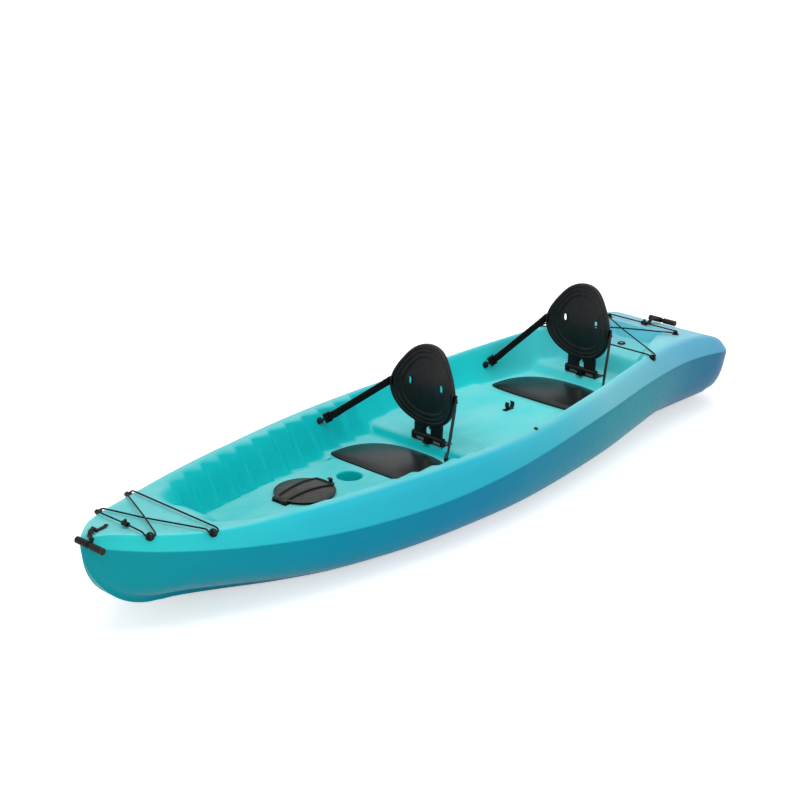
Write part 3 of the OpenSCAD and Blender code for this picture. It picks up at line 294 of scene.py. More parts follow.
def well_share(x):
    front = ease((WELL_FRONT_X - x) / WELL_FRONT_RUN)
    return min(front, clamp01((x - TANK_END_X + WELL_LIP) / WELL_LIP))


def foot_step(x):
    n = (FOOT_STEP_FRONT_X - x) / FOOT_STEP_PITCH
    return 0.0 if n < 0 or n >= FOOT_STEPS else FOOT_STEP_DEPTH * (n - math.floor(n))


def softened(value, x, reach, count=9):
    return sum(value(x + reach * (2 * i / (count - 1) - 1)) for i in range(count)) / count


def wall_y(x, s):
    inner = crest_y(s) - GUNWALE_W * ramp(GUNWALE_SHARE, x)
    return mix(inner, 0.52 * crest_y(s), ramp(TANK_SIDE, x))


# Slant and softness of the foot steps, and how much of a step shows at the rail
STEP_SLANT = 40.0
FLOOR_SOFT = 11.0
STEP_SOFT = 4.0
RAIL_STEPS = ((560, 0.8), (740, 0.25))

# A section's inner points: how far down the wall, and how far across a closed deck
WALL_SHARES = (0.0, 0.0, 0.14, 0.86, 1.0)
DECK_SHARES = (0.9, 0.78, 0.66, 0.54, 0.42, 0.31, 0.2, 0.1, 0.0)

# Where the chine, the crest and the cockpit wall stand in a section's points
CHINE, CREST, WALL_FACET = 9, 12, 15


def section(x, steps=1, soft=False):
    """Half section of the hull at x, from the keel to the middle of the deck."""
    s = x / HALF_LEN
    ky, kz, by, cy, cz = keel_y(s), keel_z(s), bilge_y(s), chine_y(s), chine_z(s)
    tunnel = TUNNEL_H * clamp01((by - ky) / (0.5 * HALF_BEAM))
    bz = min(kz + BILGE_RISE, mix(kz, cz, 0.4))
    ty, tz, w = crest_y(s), crest_z(s), well_share(x)
    if soft:
        fz = softened(lambda v: ramp(FLOOR_LINES, v, 2), x, FLOOR_SOFT)
        pz = softened(lambda v: ramp(FLOOR_LINES, v, 1), x, FLOOR_SOFT)
        at_rail = ramp(RAIL_STEPS, x)
        depths = [
            steps * share * softened(foot_step, x + STEP_SLANT * (f - 0.5), STEP_SOFT, 7)
            for f, share in zip(WALL_SHARES, (at_rail, at_rail, 1, 1, 1))
        ]
    else:
        fz, pz = ramp(FLOOR_LINES, x, 2), ramp(FLOOR_LINES, x, 1)
        depths = [steps * foot_step(x)] * 5
    lean = WALL_LEAN * ramp(LEAN_SHARE, x)
    wall = wall_y(x, s)
    py = min(ramp(FLOOR_LINES, x, 3), wall - lean - FOOT_STEP_DEPTH - CHANNEL_W)
    well = [
        (mix(ty, wall - depths[0], 0.5), tz + 3),
        (wall - depths[1], tz - 4),
        (wall - depths[2] - 0.14 * lean, mix(tz, fz, 0.16)),
        (wall - depths[3] - 0.86 * lean, mix(tz, fz, 0.9)),
        (wall - depths[4] - lean - 8, fz),
        (py + PODIUM_RUN, fz),
        (py, pz),
        (0.5 * py, pz),
        (0, pz),
    ]
    low = [
        (0, kz), (ky, kz), (mix(ky, by, 0.45), kz + tunnel), (mix(ky, by, 0.72), kz),
        (mix(ky, by, 0.86), kz), (by, bz), (mix(by, cy, 0.42), mix(bz, cz, 0.14)),
        (mix(by, cy, 0.78), mix(bz, cz, 0.45)), (mix(by, cy, 0.955), mix(bz, cz, 0.84)), (cy, cz),
        (mix(cy, ty, 0.22), mix(cz, tz, 0.36)), (mix(cy, ty, 0.58), mix(cz, tz, 0.8)), (ty, tz),
    ]
    top = []
    for f, p in zip(DECK_SHARES, well):
        flat = (f * ty, tz - 2 * (1 - f * f) * clamp01(ty / 100))
        top.append((mix(flat[0], p[0], w), mix(flat[1], p[1], w)))
    return np.array(low + top, float)


def rounded(points, cuts, count=4, most=0.48):
    """Polyline with its corners eased; cuts says how far along its sides each corner is eased."""
    out = [points[0]]
    for i in range(1, len(points) - 1):
        p = points[i]
        a, b = points[i - 1] - p, points[i + 1] - p
        la, lb = max(norm(a), 1e-9), max(norm(b), 1e-9)
        start = p + a / la * min(cuts[i], most * la)
        end = p + b / lb * min(cuts[i], most * lb)
        for k in range(count):
            t = k / (count - 1)
            out.append(start * (1 - t) ** 2 + 2 * p * t * (1 - t) + end * t * t)
    out.append(points[-1])
    return np.array(out)


def unit(v):
    return np.asarray(v, float) / norm(v)


def flip(p, side):
    return np.array([p[0], side * p[1], p[2]])


def facet_spot(x, i, f=0.5):
    p = section(x)
    q = mix(p[i], p[i + 1], f)
    return np.array([x, q[0], q[1]])


def facet_run(x, i, f=0.5):
    return unit(facet_spot(x + 10, i, f) - facet_spot(x - 10, i, f))


def facet_out(x, i, f=0.5):
    p = section(x)
    d = p[i + 1] - p[i]
    return unit(np.cross([0, d[0], d[1]], facet_run(x, i, f)))


# Mesh helpers


def finish_shading(obj, smooth):
    obj.data.shade_smooth()
    if not smooth:
        return
    bm = bmesh.new()
    bm.from_mesh(obj.data)
    limit = radians(smooth)
    for e in bm.edges:
        e.smooth = len(e.link_faces) != 2 or e.calc_face_angle(0.0) < limit
    bm.to_mesh(obj.data)
    bm.free()


def skin(rings, first=None, last=None):
    """Points and faces of a closed skin over rings, with a point or a flat cap at each end."""
    rings = np.asarray(rings, float)
    m, n = rings.shape[:2]
    points = [p for r in rings for p in r]
    faces = []
    for i in range(m - 1):
        for j in range(n):
            k = (j + 1) % n
            faces.append((i * n + j, i * n + k, (i + 1) * n + k, (i + 1) * n + j))
    if first is None:
        faces.append(tuple(range(n - 1, -1, -1)))
    else:
        points.append(np.asarray(first, float))
        faces += [(len(points) - 1, (j + 1) % n, j) for j in range(n)]
    if last is None:
        faces.append(tuple((m - 1) * n + j for j in range(n)))
    else:
        points.append(np.asarray(last, float))
        faces += [(len(points) - 1, (m - 1) * n + j, (m - 1) * n + (j + 1) % n) for j in range(n)]
    return points, faces


def skin_object(name, rings, first=None, last=None, smooth=40.0):
    points, faces = skin(rings, first, last)
    mesh = bpy.data.meshes.new(name)
    mesh.from_pydata([tuple(p) for p in np.asarray(points, float) * MM], [], faces)
    bm = bmesh.new()
    bm.from_mesh(mesh)
    bmesh.ops.recalc_face_normals(bm, faces=bm.faces)
    bm.to_mesh(mesh)
    bm.free()
    obj = shown(name, mesh)
    finish_shading(obj, smooth)
    return obj


def applied(obj):
    """Turns an object's modifiers into its mesh."""
    bpy.context.view_layer.update()
    graph = bpy.context.evaluated_depsgraph_get()
    mesh = bpy.data.meshes.new_from_object(obj.evaluated_get(graph))
    obj.modifiers.clear()
    obj.data = mesh
    return obj


def boolean(obj, other, operation="DIFFERENCE"):
    m = obj.modifiers.new("cut", "BOOLEAN")
    m.object = other
    m.operation = operation
    m.solver = "MANIFOLD"
    applied(obj)
    bpy.data.objects.remove(other)
    return obj


def beveled(obj, width, segments=2, angle=35.0):
    m = obj.modifiers.new("edge", "BEVEL")
    m.width = width * MM
    m.segments = segments
    m.limit_method = "ANGLE"
    m.angle_limit = radians(angle)
    return obj


def joined(name, objects):
    bm = bmesh.new()
    for o in objects:
        bm.from_mesh(o.data)
    mesh = bpy.data.meshes.new(name)
    bm.to_mesh(mesh)
    bm.free()
    for o in objects:
        bpy.data.objects.remove(o)
    return shown(name, mesh)


def lathe(name, profile, centre, count=96, smooth=40.0):
    """Round form about an upright axis through centre, from (radius, height) pairs that end on the axis."""
    rings = []
    for r, z in profile[1:-1]:
        turn = [2 * pi * i / count for i in range(count)]
        rings.append([(centre[0] + r * cos(a), centre[1] + r * sin(a), z) for a in turn])
    first = (centre[0], centre[1], profile[0][1])
    last = (centre[0], centre[1], profile[-1][1])
    return skin_object(name, rings, first, last, smooth)


def mesh_box(name, low, high):
    rings = [
        [(x, low[1], low[2]), (x, high[1], low[2]), (x, high[1], high[2]), (x, low[1], high[2])]
        for x in (low[0], high[0])
    ]
    return skin_object(name, rings, smooth=30)


def zone(obj, name, values):
    obj.data.attributes.new(name, "FLOAT", "POINT").data.foreach_set("value", values)


def place(obj, body, material, slot, *replaced):
    """Gives a piece its material, body (None where it is blended) and the nodes it replaces; slot is not
    used.
    """
    obj.data.materials.clear()
    obj.data.materials.append(material)
    if body is not None:
        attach(obj, body)
    if replaced:
        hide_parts(*replaced)


def spline(points, per=8):
    """Smooth curve through points."""
    p = np.asarray(points, float)
    q = np.vstack([2 * p[0] - p[1], p, 2 * p[-1] - p[-2]])
    out = []
    for i in range(1, len(q) - 2):
        for k in range(per):
            t = k / per
            a = -0.5 * q[i - 1] + 1.5 * q[i] - 1.5 * q[i + 1] + 0.5 * q[i + 2]
            b = q[i - 1] - 2.5 * q[i] + 2 * q[i + 1] - 0.5 * q[i + 2]
            c = -0.5 * q[i - 1] + 0.5 * q[i + 1]
            out.append(((a * t + b) * t + c) * t + q[i])
    out.append(p[-1])
    return np.array(out)


def band_object(name, route, width, thick, wide, edge=0.8):
    """Flat webbing along a route with rounded edges and texture coordinates along and across it."""
    route = np.asarray(route, float)
    n = len(route)
    h, w = thick / 2, width / 2
    shape = [
        (-w, -h + edge), (-w + edge, -h), (-w / 3, -h), (w / 3, -h), (w - edge, -h), (w, -h + edge),
        (w, h - edge), (w - edge, h), (w / 3, h), (-w / 3, h), (-w + edge, h), (-w, h - edge),
    ]
    rings, run = [], [0.0]
    for i in range(n):
        d = unit(route[min(i + 1, n - 1)] - route[max(i - 1, 0)])
        across = wide[i] if np.ndim(wide) == 2 else wide
        a = unit(np.asarray(across, float) - np.dot(across, d) * d)
        b = np.cross(d, a)
        rings.append([route[i] + a * u + b * v for u, v in shape])
        if i:
            run.append(run[-1] + norm(route[i] - route[i - 1]))
    obj = skin_object(name, rings, smooth=50)
    layer = obj.data.uv_layers.new(name="along")
    k = len(shape)
    for poly in obj.data.polygons:
        for li in poly.loop_indices:
            v = obj.data.loops[li].vertex_index
            i, j = divmod(v, k)
            layer.data[li].uv = (run[i] * MM, shape[j][0] * MM)
    return obj


# Materials, with sizes in metres


def lin(r, g, b):
    def one(c):
        c = c / 255
        return c / 12.92 if c <= 0.04045 else ((c + 0.055) / 1.055) ** 2.4

    return (one(r), one(g), one(b), 1.0)


def material(name):
    m = bpy.data.materials.new(name)
    m.use_nodes = True
    tree = m.node_tree
    return m, tree, tree.nodes["Principled BSDF"]


def add(tree, kind, **settings):
    node = tree.nodes.new("ShaderNode" + kind)
    for key, value in settings.items():
        if key.startswith("in_"):
            node.inputs[key[3:].replace("_", " ").title()].default_value = value
        else:
            setattr(node, key, value)
    return node


def noise(tree, coord, scale, detail=2.0, rough=0.5):
    n = add(tree, "TexNoise", in_scale=scale, in_detail=detail, in_roughness=rough)
    tree.links.new(coord, n.inputs["Vector"])
    return n.outputs["Fac"]


def colours(tree, fac, stops):
    n = add(tree, "ValToRGB")
    ramp_el = n.color_ramp.elements
    while len(ramp_el) < len(stops):
        ramp_el.new(0.5)
    for el, (pos, col) in zip(ramp_el, stops):
        el.position = pos
        el.color = lin(*col)
    tree.links.new(fac, n.inputs["Fac"])
    return n.outputs["Color"]


def spread(tree, value, low, high, to_low, to_high):
    n = add(tree, "MapRange", in_from_min=low, in_from_max=high, in_to_min=to_low, in_to_max=to_high)
    tree.links.new(value, n.inputs["Value"])
    return n.outputs["Result"]


def feed(tree, socket, value):
    if isinstance(value, (int, float, tuple)):
        socket.default_value = value
    else:
        tree.links.new(value, socket)


def maths(tree, operation, a, b):
    n = add(tree, "Math", operation=operation)
    feed(tree, n.inputs[0], a)
    feed(tree, n.inputs[1], b)
    return n.outputs[0]


def blended(tree, fac, a, b):
    n = add(tree, "Mix", data_type="RGBA")
    for k, v in ((0, fac), (6, a), (7, b)):
        feed(tree, n.inputs[k], v)
    return n.outputs[2]


def bumps(tree, bsdf, layers):
    """Chain of bump layers: (height, strength, distance in metres)."""
    normal = None
    for height, strength, distance in layers:
        n = add(tree, "Bump", in_strength=strength, in_distance=distance)
        tree.links.new(height, n.inputs["Height"])
        if normal is not None:
            tree.links.new(normal, n.inputs["Normal"])
        normal = n.outputs["Normal"]
    tree.links.new(normal, bsdf.inputs["Normal"])


def surface(tree, bsdf, colour, rough, specular):
    feed(tree, bsdf.inputs["Base Color"], colour)
    feed(tree, bsdf.inputs["Roughness"], rough)
    feed(tree, bsdf.inputs["Specular IOR Level"], specular)


def object_coord(tree):
    return add(tree, "TexCoord").outputs["Object"]


# Colour of the plastic from the stern (0) to the bow (1): in the cockpit, on the rail with painted light,
# and below the chine with painted shade
# Cockpit: the plastic's fade; its pale stops towards the stern are partly painted light on the rear wall,
# which faces the bow
INSIDE_FADE = (
    (0.0, (96, 168, 208)), (0.1, (104, 184, 210)), (0.2, (88, 216, 222)), (0.3, (42, 220, 222)),
    (0.5, (12, 190, 195)), (1.0, (6, 186, 188)),
)
# Rail and shoulder: lighter than the cockpit, painted light as if the shoulder faced up
RAIL_PAINTED_LIGHT_FADE = (
    (0.0, (84, 164, 204)), (0.15, (104, 184, 212)), (0.3, (118, 194, 208)), (0.45, (74, 186, 206)),
    (0.6, (50, 184, 208)), (0.8, (48, 198, 218)), (1.0, (58, 226, 226)),
)
# Below the chine: darker, painted shade of the sides that face down
OUTSIDE_PAINTED_SHADE_FADE = (
    (0.0, (36, 104, 152)), (0.12, (38, 124, 160)), (0.25, (28, 148, 164)), (0.4, (6, 140, 166)),
    (0.6, (2, 136, 174)), (0.8, (2, 152, 178)), (1.0, (20, 164, 174)),
)


def hull_material():
    m, tree, bsdf = material("hull_plastic")
    coord = object_coord(tree)
    parts = add(tree, "SeparateXYZ")
    tree.links.new(coord, parts.inputs[0])
    cloud = noise(tree, coord, 1.7, 3.0, 0.55)
    drift = maths(tree, "MULTIPLY", maths(tree, "SUBTRACT", cloud, 0.5), 0.8)
    bow = HALF_LEN * MM
    share = spread(tree, maths(tree, "ADD", parts.outputs["X"], drift), -bow, bow, 0.0, 1.0)
    # The rail zone takes the colours lightened with painted light, the outside zone those darkened with
    # painted shade
    outside = add(tree, "Attribute", attribute_name="outside").outputs["Fac"]
    rail = add(tree, "Attribute", attribute_name="rail").outputs["Fac"]
    fade = blended(tree, rail, colours(tree, share, INSIDE_FADE), colours(tree, share, RAIL_PAINTED_LIGHT_FADE))
    fade = blended(tree, outside, fade, colours(tree, share, OUTSIDE_PAINTED_SHADE_FADE))
    # Painted reflection and light: faces that turn up are mixed towards a pale colour in cloudy patches,
    # for the bright surroundings and the light from above that they catch
    facing = add(tree, "SeparateXYZ")
    tree.links.new(add(tree, "NewGeometry").outputs["Normal"], facing.inputs[0])
    flat = spread(tree, facing.outputs["Z"], 0.7, 0.97, 0.0, 1.0)
    stretch = add(tree, "Mapping", in_scale=(1.0, 2.4, 2.4))
    tree.links.new(coord, stretch.inputs["Vector"])
    sheen_cloud = noise(tree, stretch.outputs["Vector"], 2.6, 5.0, 0.6)
    pale_patches = maths(tree, "MULTIPLY", flat, spread(tree, sheen_cloud, 0.3, 0.7, 0.12, 0.38))
    colour = blended(tree, pale_patches, fade, lin(190, 228, 230))
    fine = noise(tree, coord, 700.0)
    wave = noise(tree, coord, 22.0)
    rough = spread(tree, noise(tree, coord, 40.0, 4.0), 0.3, 0.7, 0.3, 0.4)
    surface(tree, bsdf, colour, rough, 0.05)
    bumps(tree, bsdf, ((wave, 0.06, 0.004), (fine, 0.06, 0.0006)))
    return m


def moulded_material(name, dark, light, rough, grain=1400.0, strength=0.22):
    m, tree, bsdf = material(name)
    coord = object_coord(tree)
    cloud = noise(tree, coord, 30.0, 4.0)
    colour = colours(tree, cloud, ((0.35, dark), (0.7, light)))
    surface(tree, bsdf, colour, spread(tree, noise(tree, coord, 120.0, 3.0), 0.3, 0.7, *rough), 0.2)
    bumps(tree, bsdf, ((noise(tree, coord, grain), strength, 0.0003),))
    return m


def weave_heights(tree, u, v, pitch_u, pitch_v):
    """Over and under weave from two running coordinates."""
    a = maths(tree, "SINE", maths(tree, "MULTIPLY", u, 2 * pi / pitch_u), 0.0)
    b = maths(tree, "SINE", maths(tree, "MULTIPLY", v, 2 * pi / pitch_v), 0.0)
    return maths(tree, "MULTIPLY", a, b)


def webbing_material():
    m, tree, bsdf = material("webbing")
    uv = add(tree, "TexCoord").outputs["UV"]
    parts = add(tree, "SeparateXYZ")
    tree.links.new(uv, parts.inputs[0])
    weave = weave_heights(tree, parts.outputs["X"], parts.outputs["Y"], 0.0042, 0.0032)
    shade = spread(tree, weave, -1.0, 1.0, 0.0, 1.0)
    pale_patches = noise(tree, object_coord(tree), 60.0, 4.0)
    colour = colours(tree, shade, ((0.0, (5, 5, 6)), (1.0, (15, 15, 16))))
    colour = blended(tree, spread(tree, pale_patches, 0.55, 0.8, 0.0, 0.35), colour, lin(24, 24, 26))
    surface(tree, bsdf, colour, 0.72, 0.15)
    bsdf.inputs["Sheen Weight"].default_value = 0.04
    bumps(tree, bsdf, ((shade, 0.5, 0.0006),))
    return m


def pad_material():
    m, tree, bsdf = material("seat_foam")
    coord = object_coord(tree)
    parts = add(tree, "SeparateXYZ")
    tree.links.new(coord, parts.inputs[0])
    weave = weave_heights(tree, parts.outputs["X"], parts.outputs["Y"], 0.0026, 0.0026)
    shade = spread(tree, weave, -1.0, 1.0, 0.0, 1.0)
    cloud = noise(tree, coord, 14.0, 4.0)
    base = colours(tree, cloud, ((0.3, (18, 21, 21)), (0.72, (30, 33, 33))))
    colour = blended(tree, spread(tree, shade, 0.0, 1.0, 0.0, 0.25), base, lin(14, 15, 16))
    bound = add(tree, "Attribute", attribute_name="bound").outputs["Fac"]
    colour = blended(tree, bound, colour, lin(12, 12, 13))
    surface(tree, bsdf, colour, 0.3, 0.3)
    bumps(tree, bsdf, ((cloud, 0.06, 0.003), (shade, 0.08, 0.0004)))
    return m


def cord_material():
    m, tree, bsdf = material("shock_cord")
    coord = object_coord(tree)
    cells = add(tree, "TexVoronoi", in_scale=620.0)
    tree.links.new(coord, cells.inputs["Vector"])
    colour = colours(tree, cells.outputs["Distance"], ((0.0, (26, 26, 28)), (0.7, (8, 8, 9))))
    surface(tree, bsdf, colour, 0.6, 0.2)
    bumps(tree, bsdf, ((cells.outputs["Distance"], 0.4, 0.0006),))
    return m


def steel_material():
    m, tree, bsdf = material("steel")
    coord = object_coord(tree)
    scratch = noise(tree, coord, 300.0, 4.0)
    colour = colours(tree, scratch, ((0.3, (56, 56, 58)), (0.7, (84, 84, 87))))
    surface(tree, bsdf, colour, spread(tree, scratch, 0.3, 0.7, 0.25, 0.42), 0.5)
    bsdf.inputs["Metallic"].default_value = 1.0
    bumps(tree, bsdf, ((scratch, 0.08, 0.0003),))
    return m


hull_plastic = hull_material()
black_plastic = moulded_material("black_plastic", (14, 14, 15), (24, 24, 25), (0.3, 0.44))
grip_plastic = moulded_material("grip_rubber", (22, 20, 20), (38, 35, 34), (0.42, 0.56))
hatch_plastic = moulded_material("hatch_plastic", (44, 43, 42), (60, 58, 56), (0.32, 0.44), 900.0, 0.15)
seal_rubber = moulded_material("seal_rubber", (10, 10, 10), (18, 18, 18), (0.55, 0.7))
drain_pale = moulded_material("drain_cap", (120, 168, 178), (150, 190, 198), (0.35, 0.5))
webbing = webbing_material()
seat_foam = pad_material()
shock_cord = cord_material()
steel = steel_material()

# Hull: a dense version of the same lines, each corner of a section eased by its cut
STATION_END = 1595.0
STATION_STEP = 11.0
HOLLOW_STEP = 18.0
CUTS = (0, 6, 40, 16, 16, 60, 200, 200, 60, 5, 60, 40, 9, 20, 12, 40, 40, 14, 12, 10, 40, 0)


def stations():
    """Places of the sections, closer together at the ends and at the tank well's lip."""
    ends = np.array([0.9993, 0.998, 0.996, 0.993, 0.989, 0.984, 0.978, 0.971, 0.963, 0.954])
    inner = np.arange(-STATION_END, STATION_END + STATION_STEP, STATION_STEP)
    bow = HALF_LEN * ends
    stern = -HALF_LEN * np.concatenate([ends, [0.9987, 0.9945, 0.9915]])
    lips = [TANK_END_X - WELL_LIP * k / 4 for k in range(5)]
    every = np.concatenate([inner, bow, stern, lips])
    every = np.sort(every[(every > stern.min() - 1e-6) & (every < bow.max() + 1e-6)])
    return every[np.concatenate([[True], np.diff(every) > 0.6])]


def ring_of(x, half):
    port = [(x, p[0], p[1]) for p in half]
    starboard = [(x, -p[0], p[1]) for p in half[-2:0:-1]]
    return port + starboard


hull_x = stations()
hull_rings = [ring_of(x, rounded(section(x, 1, True), CUTS)) for x in hull_x]
hull = skin_object("hull_moulding", hull_rings, (-HALF_LEN, 0, STERN_Z), (HALF_LEN, 0, TIP_Z), smooth=0)

# The hollow follows these points of a section, one wall further in
HOLLOW_PICKS = (0, 2, 4, 5, 6, 7, 8, 9, 11, 12, 14, 16, 17, 18, 19, 21)


def left_of(d):
    return np.array([-d[1], d[0]]) / max(norm(d), 1e-9)


def hollow_section(x):
    p = section(x, 0, True)[list(HOLLOW_PICKS)]
    out = []
    for i in range(len(p)):
        before = np.array([0.0, 1.0]) if i == 0 else left_of(p[i] - p[i - 1])
        after = np.array([0.0, -1.0]) if i == len(p) - 1 else left_of(p[i + 1] - p[i])
        q = p[i] + (WALL + 1) * (before + after) / max(0.5, 1 + before @ after)
        out.append((0.0 if i in (0, len(p) - 1) else max(q[0], 0.5), q[1]))
    return np.array(out)


hollow_x = np.arange(-0.975 * HALF_LEN, 0.95 * HALF_LEN, HOLLOW_STEP)
hollow_mid = [mix(keel_z(x / HALF_LEN), crest_z(x / HALF_LEN), 0.5) for x in (hollow_x[0], hollow_x[-1])]
hollow_rings = [ring_of(x, hollow_section(x)) for x in hollow_x]
hollow_ends = (hollow_x[0] - 1, 0, hollow_mid[0]), (hollow_x[-1] + 1, 0, hollow_mid[1])
hollow = skin_object("hollow", hollow_rings, *hollow_ends, smooth=0)

# Cup holder: a wall kept out of the hollow, and a cut with a round foot and lip
CUP_FOOT_R, CUP_LIP_R = 12.0, 9.0
cup_floor = HATCH_DECK_Z - CUP_DEPTH
cup_wall = (
    (0, cup_floor - WALL),
    (CUP_R + WALL, cup_floor - WALL),
    (CUP_R + WALL, HATCH_DECK_Z - 12),
    (CUP_R + 16, HATCH_DECK_Z - 5),
    (CUP_R + 16, HATCH_DECK_Z + 9),
    (0, HATCH_DECK_Z + 9),
)
boolean(hollow, lathe("cup_wall", cup_wall, (CUP_X, 0), 64))
boolean(hull, hollow)
quarter = np.linspace(0, pi / 2, 7)
foot_r, foot_z = CUP_R - CUP_FOOT_R, cup_floor + CUP_FOOT_R
lip_r, lip_z = CUP_R + CUP_LIP_R, HATCH_DECK_Z - CUP_LIP_R
cup = [(0, cup_floor)]
cup += [(foot_r + CUP_FOOT_R * sin(a), foot_z - CUP_FOOT_R * cos(a)) for a in quarter]
cup += [(lip_r - CUP_LIP_R * cos(a), lip_z + CUP_LIP_R * sin(a)) for a in quarter]
cup += [(CUP_R + 10, HATCH_DECK_Z + 12), (0, HATCH_DECK_Z + 12)]
boolean(hull, lathe("cup", cup, (CUP_X, 0)))


def deck_hole(x, z, r, count):
    """Cuts a round hole through the deck at height z."""
    low, high = z - 18, z + 4
    boolean(hull, lathe("hole", ((0, low), (r, low), (r, high), (0, high)), (x, 0), count))


deck_hole(HATCH_X, HATCH_DECK_Z, HATCH_R + WALL + 1, 96)
deck_hole(DRAIN_X, TANK_FLOOR_Z, DRAIN_R, 48)
finish_shading(hull, 50)

# Widths of the colour fades at the chine, into painted shade, and at the rail, into painted light
CHINE_FADE = 5.0
RAIL_INSIDE, RAIL_WIDTH = 26.0, 40.0


def mark_outside(obj):
    """Stores the colour zones: outside is 1 below the chine, for painted shade, and rail is 1 from the
    gunwale's crest outward, for painted light.
    """
    p = np.array([v.co for v in obj.data.vertices]) / MM
    owner = np.abs(p[:, :1] - hull_x[None, :]).argmin(1)
    value = np.zeros(len(p), np.float32)
    rail = np.zeros(len(p), np.float32)
    for k, x in enumerate(hull_x):
        pick = owner == k
        half = section(x, 1, True)
        y, z = np.abs(p[pick, 1]), p[pick, 2]
        low = np.interp(y, half[: CHINE + 1, 0], half[: CHINE + 1, 1])
        high = np.interp(y, half[: CREST - 1 : -1, 0], half[: CREST - 1 : -1, 1])
        chine, crest = half[CHINE][1], half[CREST][0]
        side = np.clip((chine + 1.5 - z) / CHINE_FADE, 0, 1)
        inner = z < np.minimum(0.5 * (low + high), chine)
        value[pick] = np.where(y > crest, side, inner)
        rail[pick] = np.clip((y - crest + RAIL_INSIDE) / RAIL_WIDTH, 0, 1)
    zone(obj, "outside", value)
    zone(obj, "rail", rail)


mark_outside(hull)
place(hull, "hull", hull_plastic, "hull_plastic", "hull_shell")

# Seat backs: an egg shaped panel, curved about an upright axis, with nested steps, slots and hinge arms
BACK_PROFILE = np.array(
    (
        (110, -7.5), (16, -7.5), (12.5, -12), (4.5, -12), (0, -7.5), (0, 7.5), (4.5, 12), (13, 12), (17, 9),
        (28, 9), (32, 6.2), (47, 6.2), (52, 3), (110, 3),
    ),
    float,
)
BACK_CUTS = (0, 1.5, 1.5, 4, 5, 5, 4, 2.5, 1.5, 2.5, 1.5, 2.5, 1.5, 0)
BACK_COUNT = 128
KNUCKLE_IN, KNUCKLE_OUT, KNUCKLE_R = 15.5, 69.5, 11.0
PIN_BORE = 4.05
WEB_HALF_T, WEB_TOP, ARM_TOP = 7.5, 88.0, 34.0
NOTCH_HALF_W, NOTCH_TOP = 7.0, 66.0
RIB_IN, RIB_OUT, RIB_H, RIB_HALF_T = 12.0, 66.0, 6.0, 9.2
SLOT_Y, SLOT_Z = 80.0, 215.0


def belly(z):
    return BACK_BELLY * (1 - ((z - BACK_MID) / (BACK_H - BACK_MID)) ** 2)


def back_point(inset, depth, a):
    upper = sin(a) > 0
    y = (BACK_W / 2 - inset) * cos(a) * (1 - (0.1 * sin(2 * a) ** 2 if upper else 0))
    reach = BACK_H - BACK_MID if upper else BACK_MID - BACK_LOW
    z = BACK_MID + (reach - inset) * sin(a)
    return np.array([BACK_WRAP * (2 * y / BACK_W) ** 2 + belly(z) + depth, y, z])


def leaned(p, hinge):
    c, s = cos(BACK_LEAN), sin(BACK_LEAN)
    return np.array([hinge[0] + c * p[0] + s * p[2], hinge[1] + p[1], hinge[2] - s * p[0] + c * p[2]])


def prism(name, outline, x0, x1, hinge):
    rings = [[leaned((x, y, z), hinge) for y, z in outline] for x in (x0, x1)]
    return skin_object(name, rings, smooth=30)


def box_slot(y0, y1, z0, z1):
    return [(y0, z0), (y1, z0), (y1, z1), (y0, z1)]


def round_slot(y, z, r, half, count=10):
    upper = np.linspace(0, pi, count)
    lower = np.linspace(pi, 2 * pi, count)
    top = [(y + r * cos(a), z + half + r * sin(a)) for a in upper]
    return top + [(y + r * cos(a), z - half + r * sin(a)) for a in lower]


def tube_y(name, y0, y1, r, axis, count=48, bevel=0.0):
    levels = ((y0, r), (y1, r))
    if bevel:
        levels = ((y0, r - bevel), (y0 + bevel, r), (y1 - bevel, r), (y1, r - bevel))
    turn = [2 * pi * i / count for i in range(count)]
    rings = [[(axis[0] + q * cos(t), y, axis[2] + q * sin(t)) for t in turn] for y, q in levels]
    return skin_object(name, rings, smooth=30)


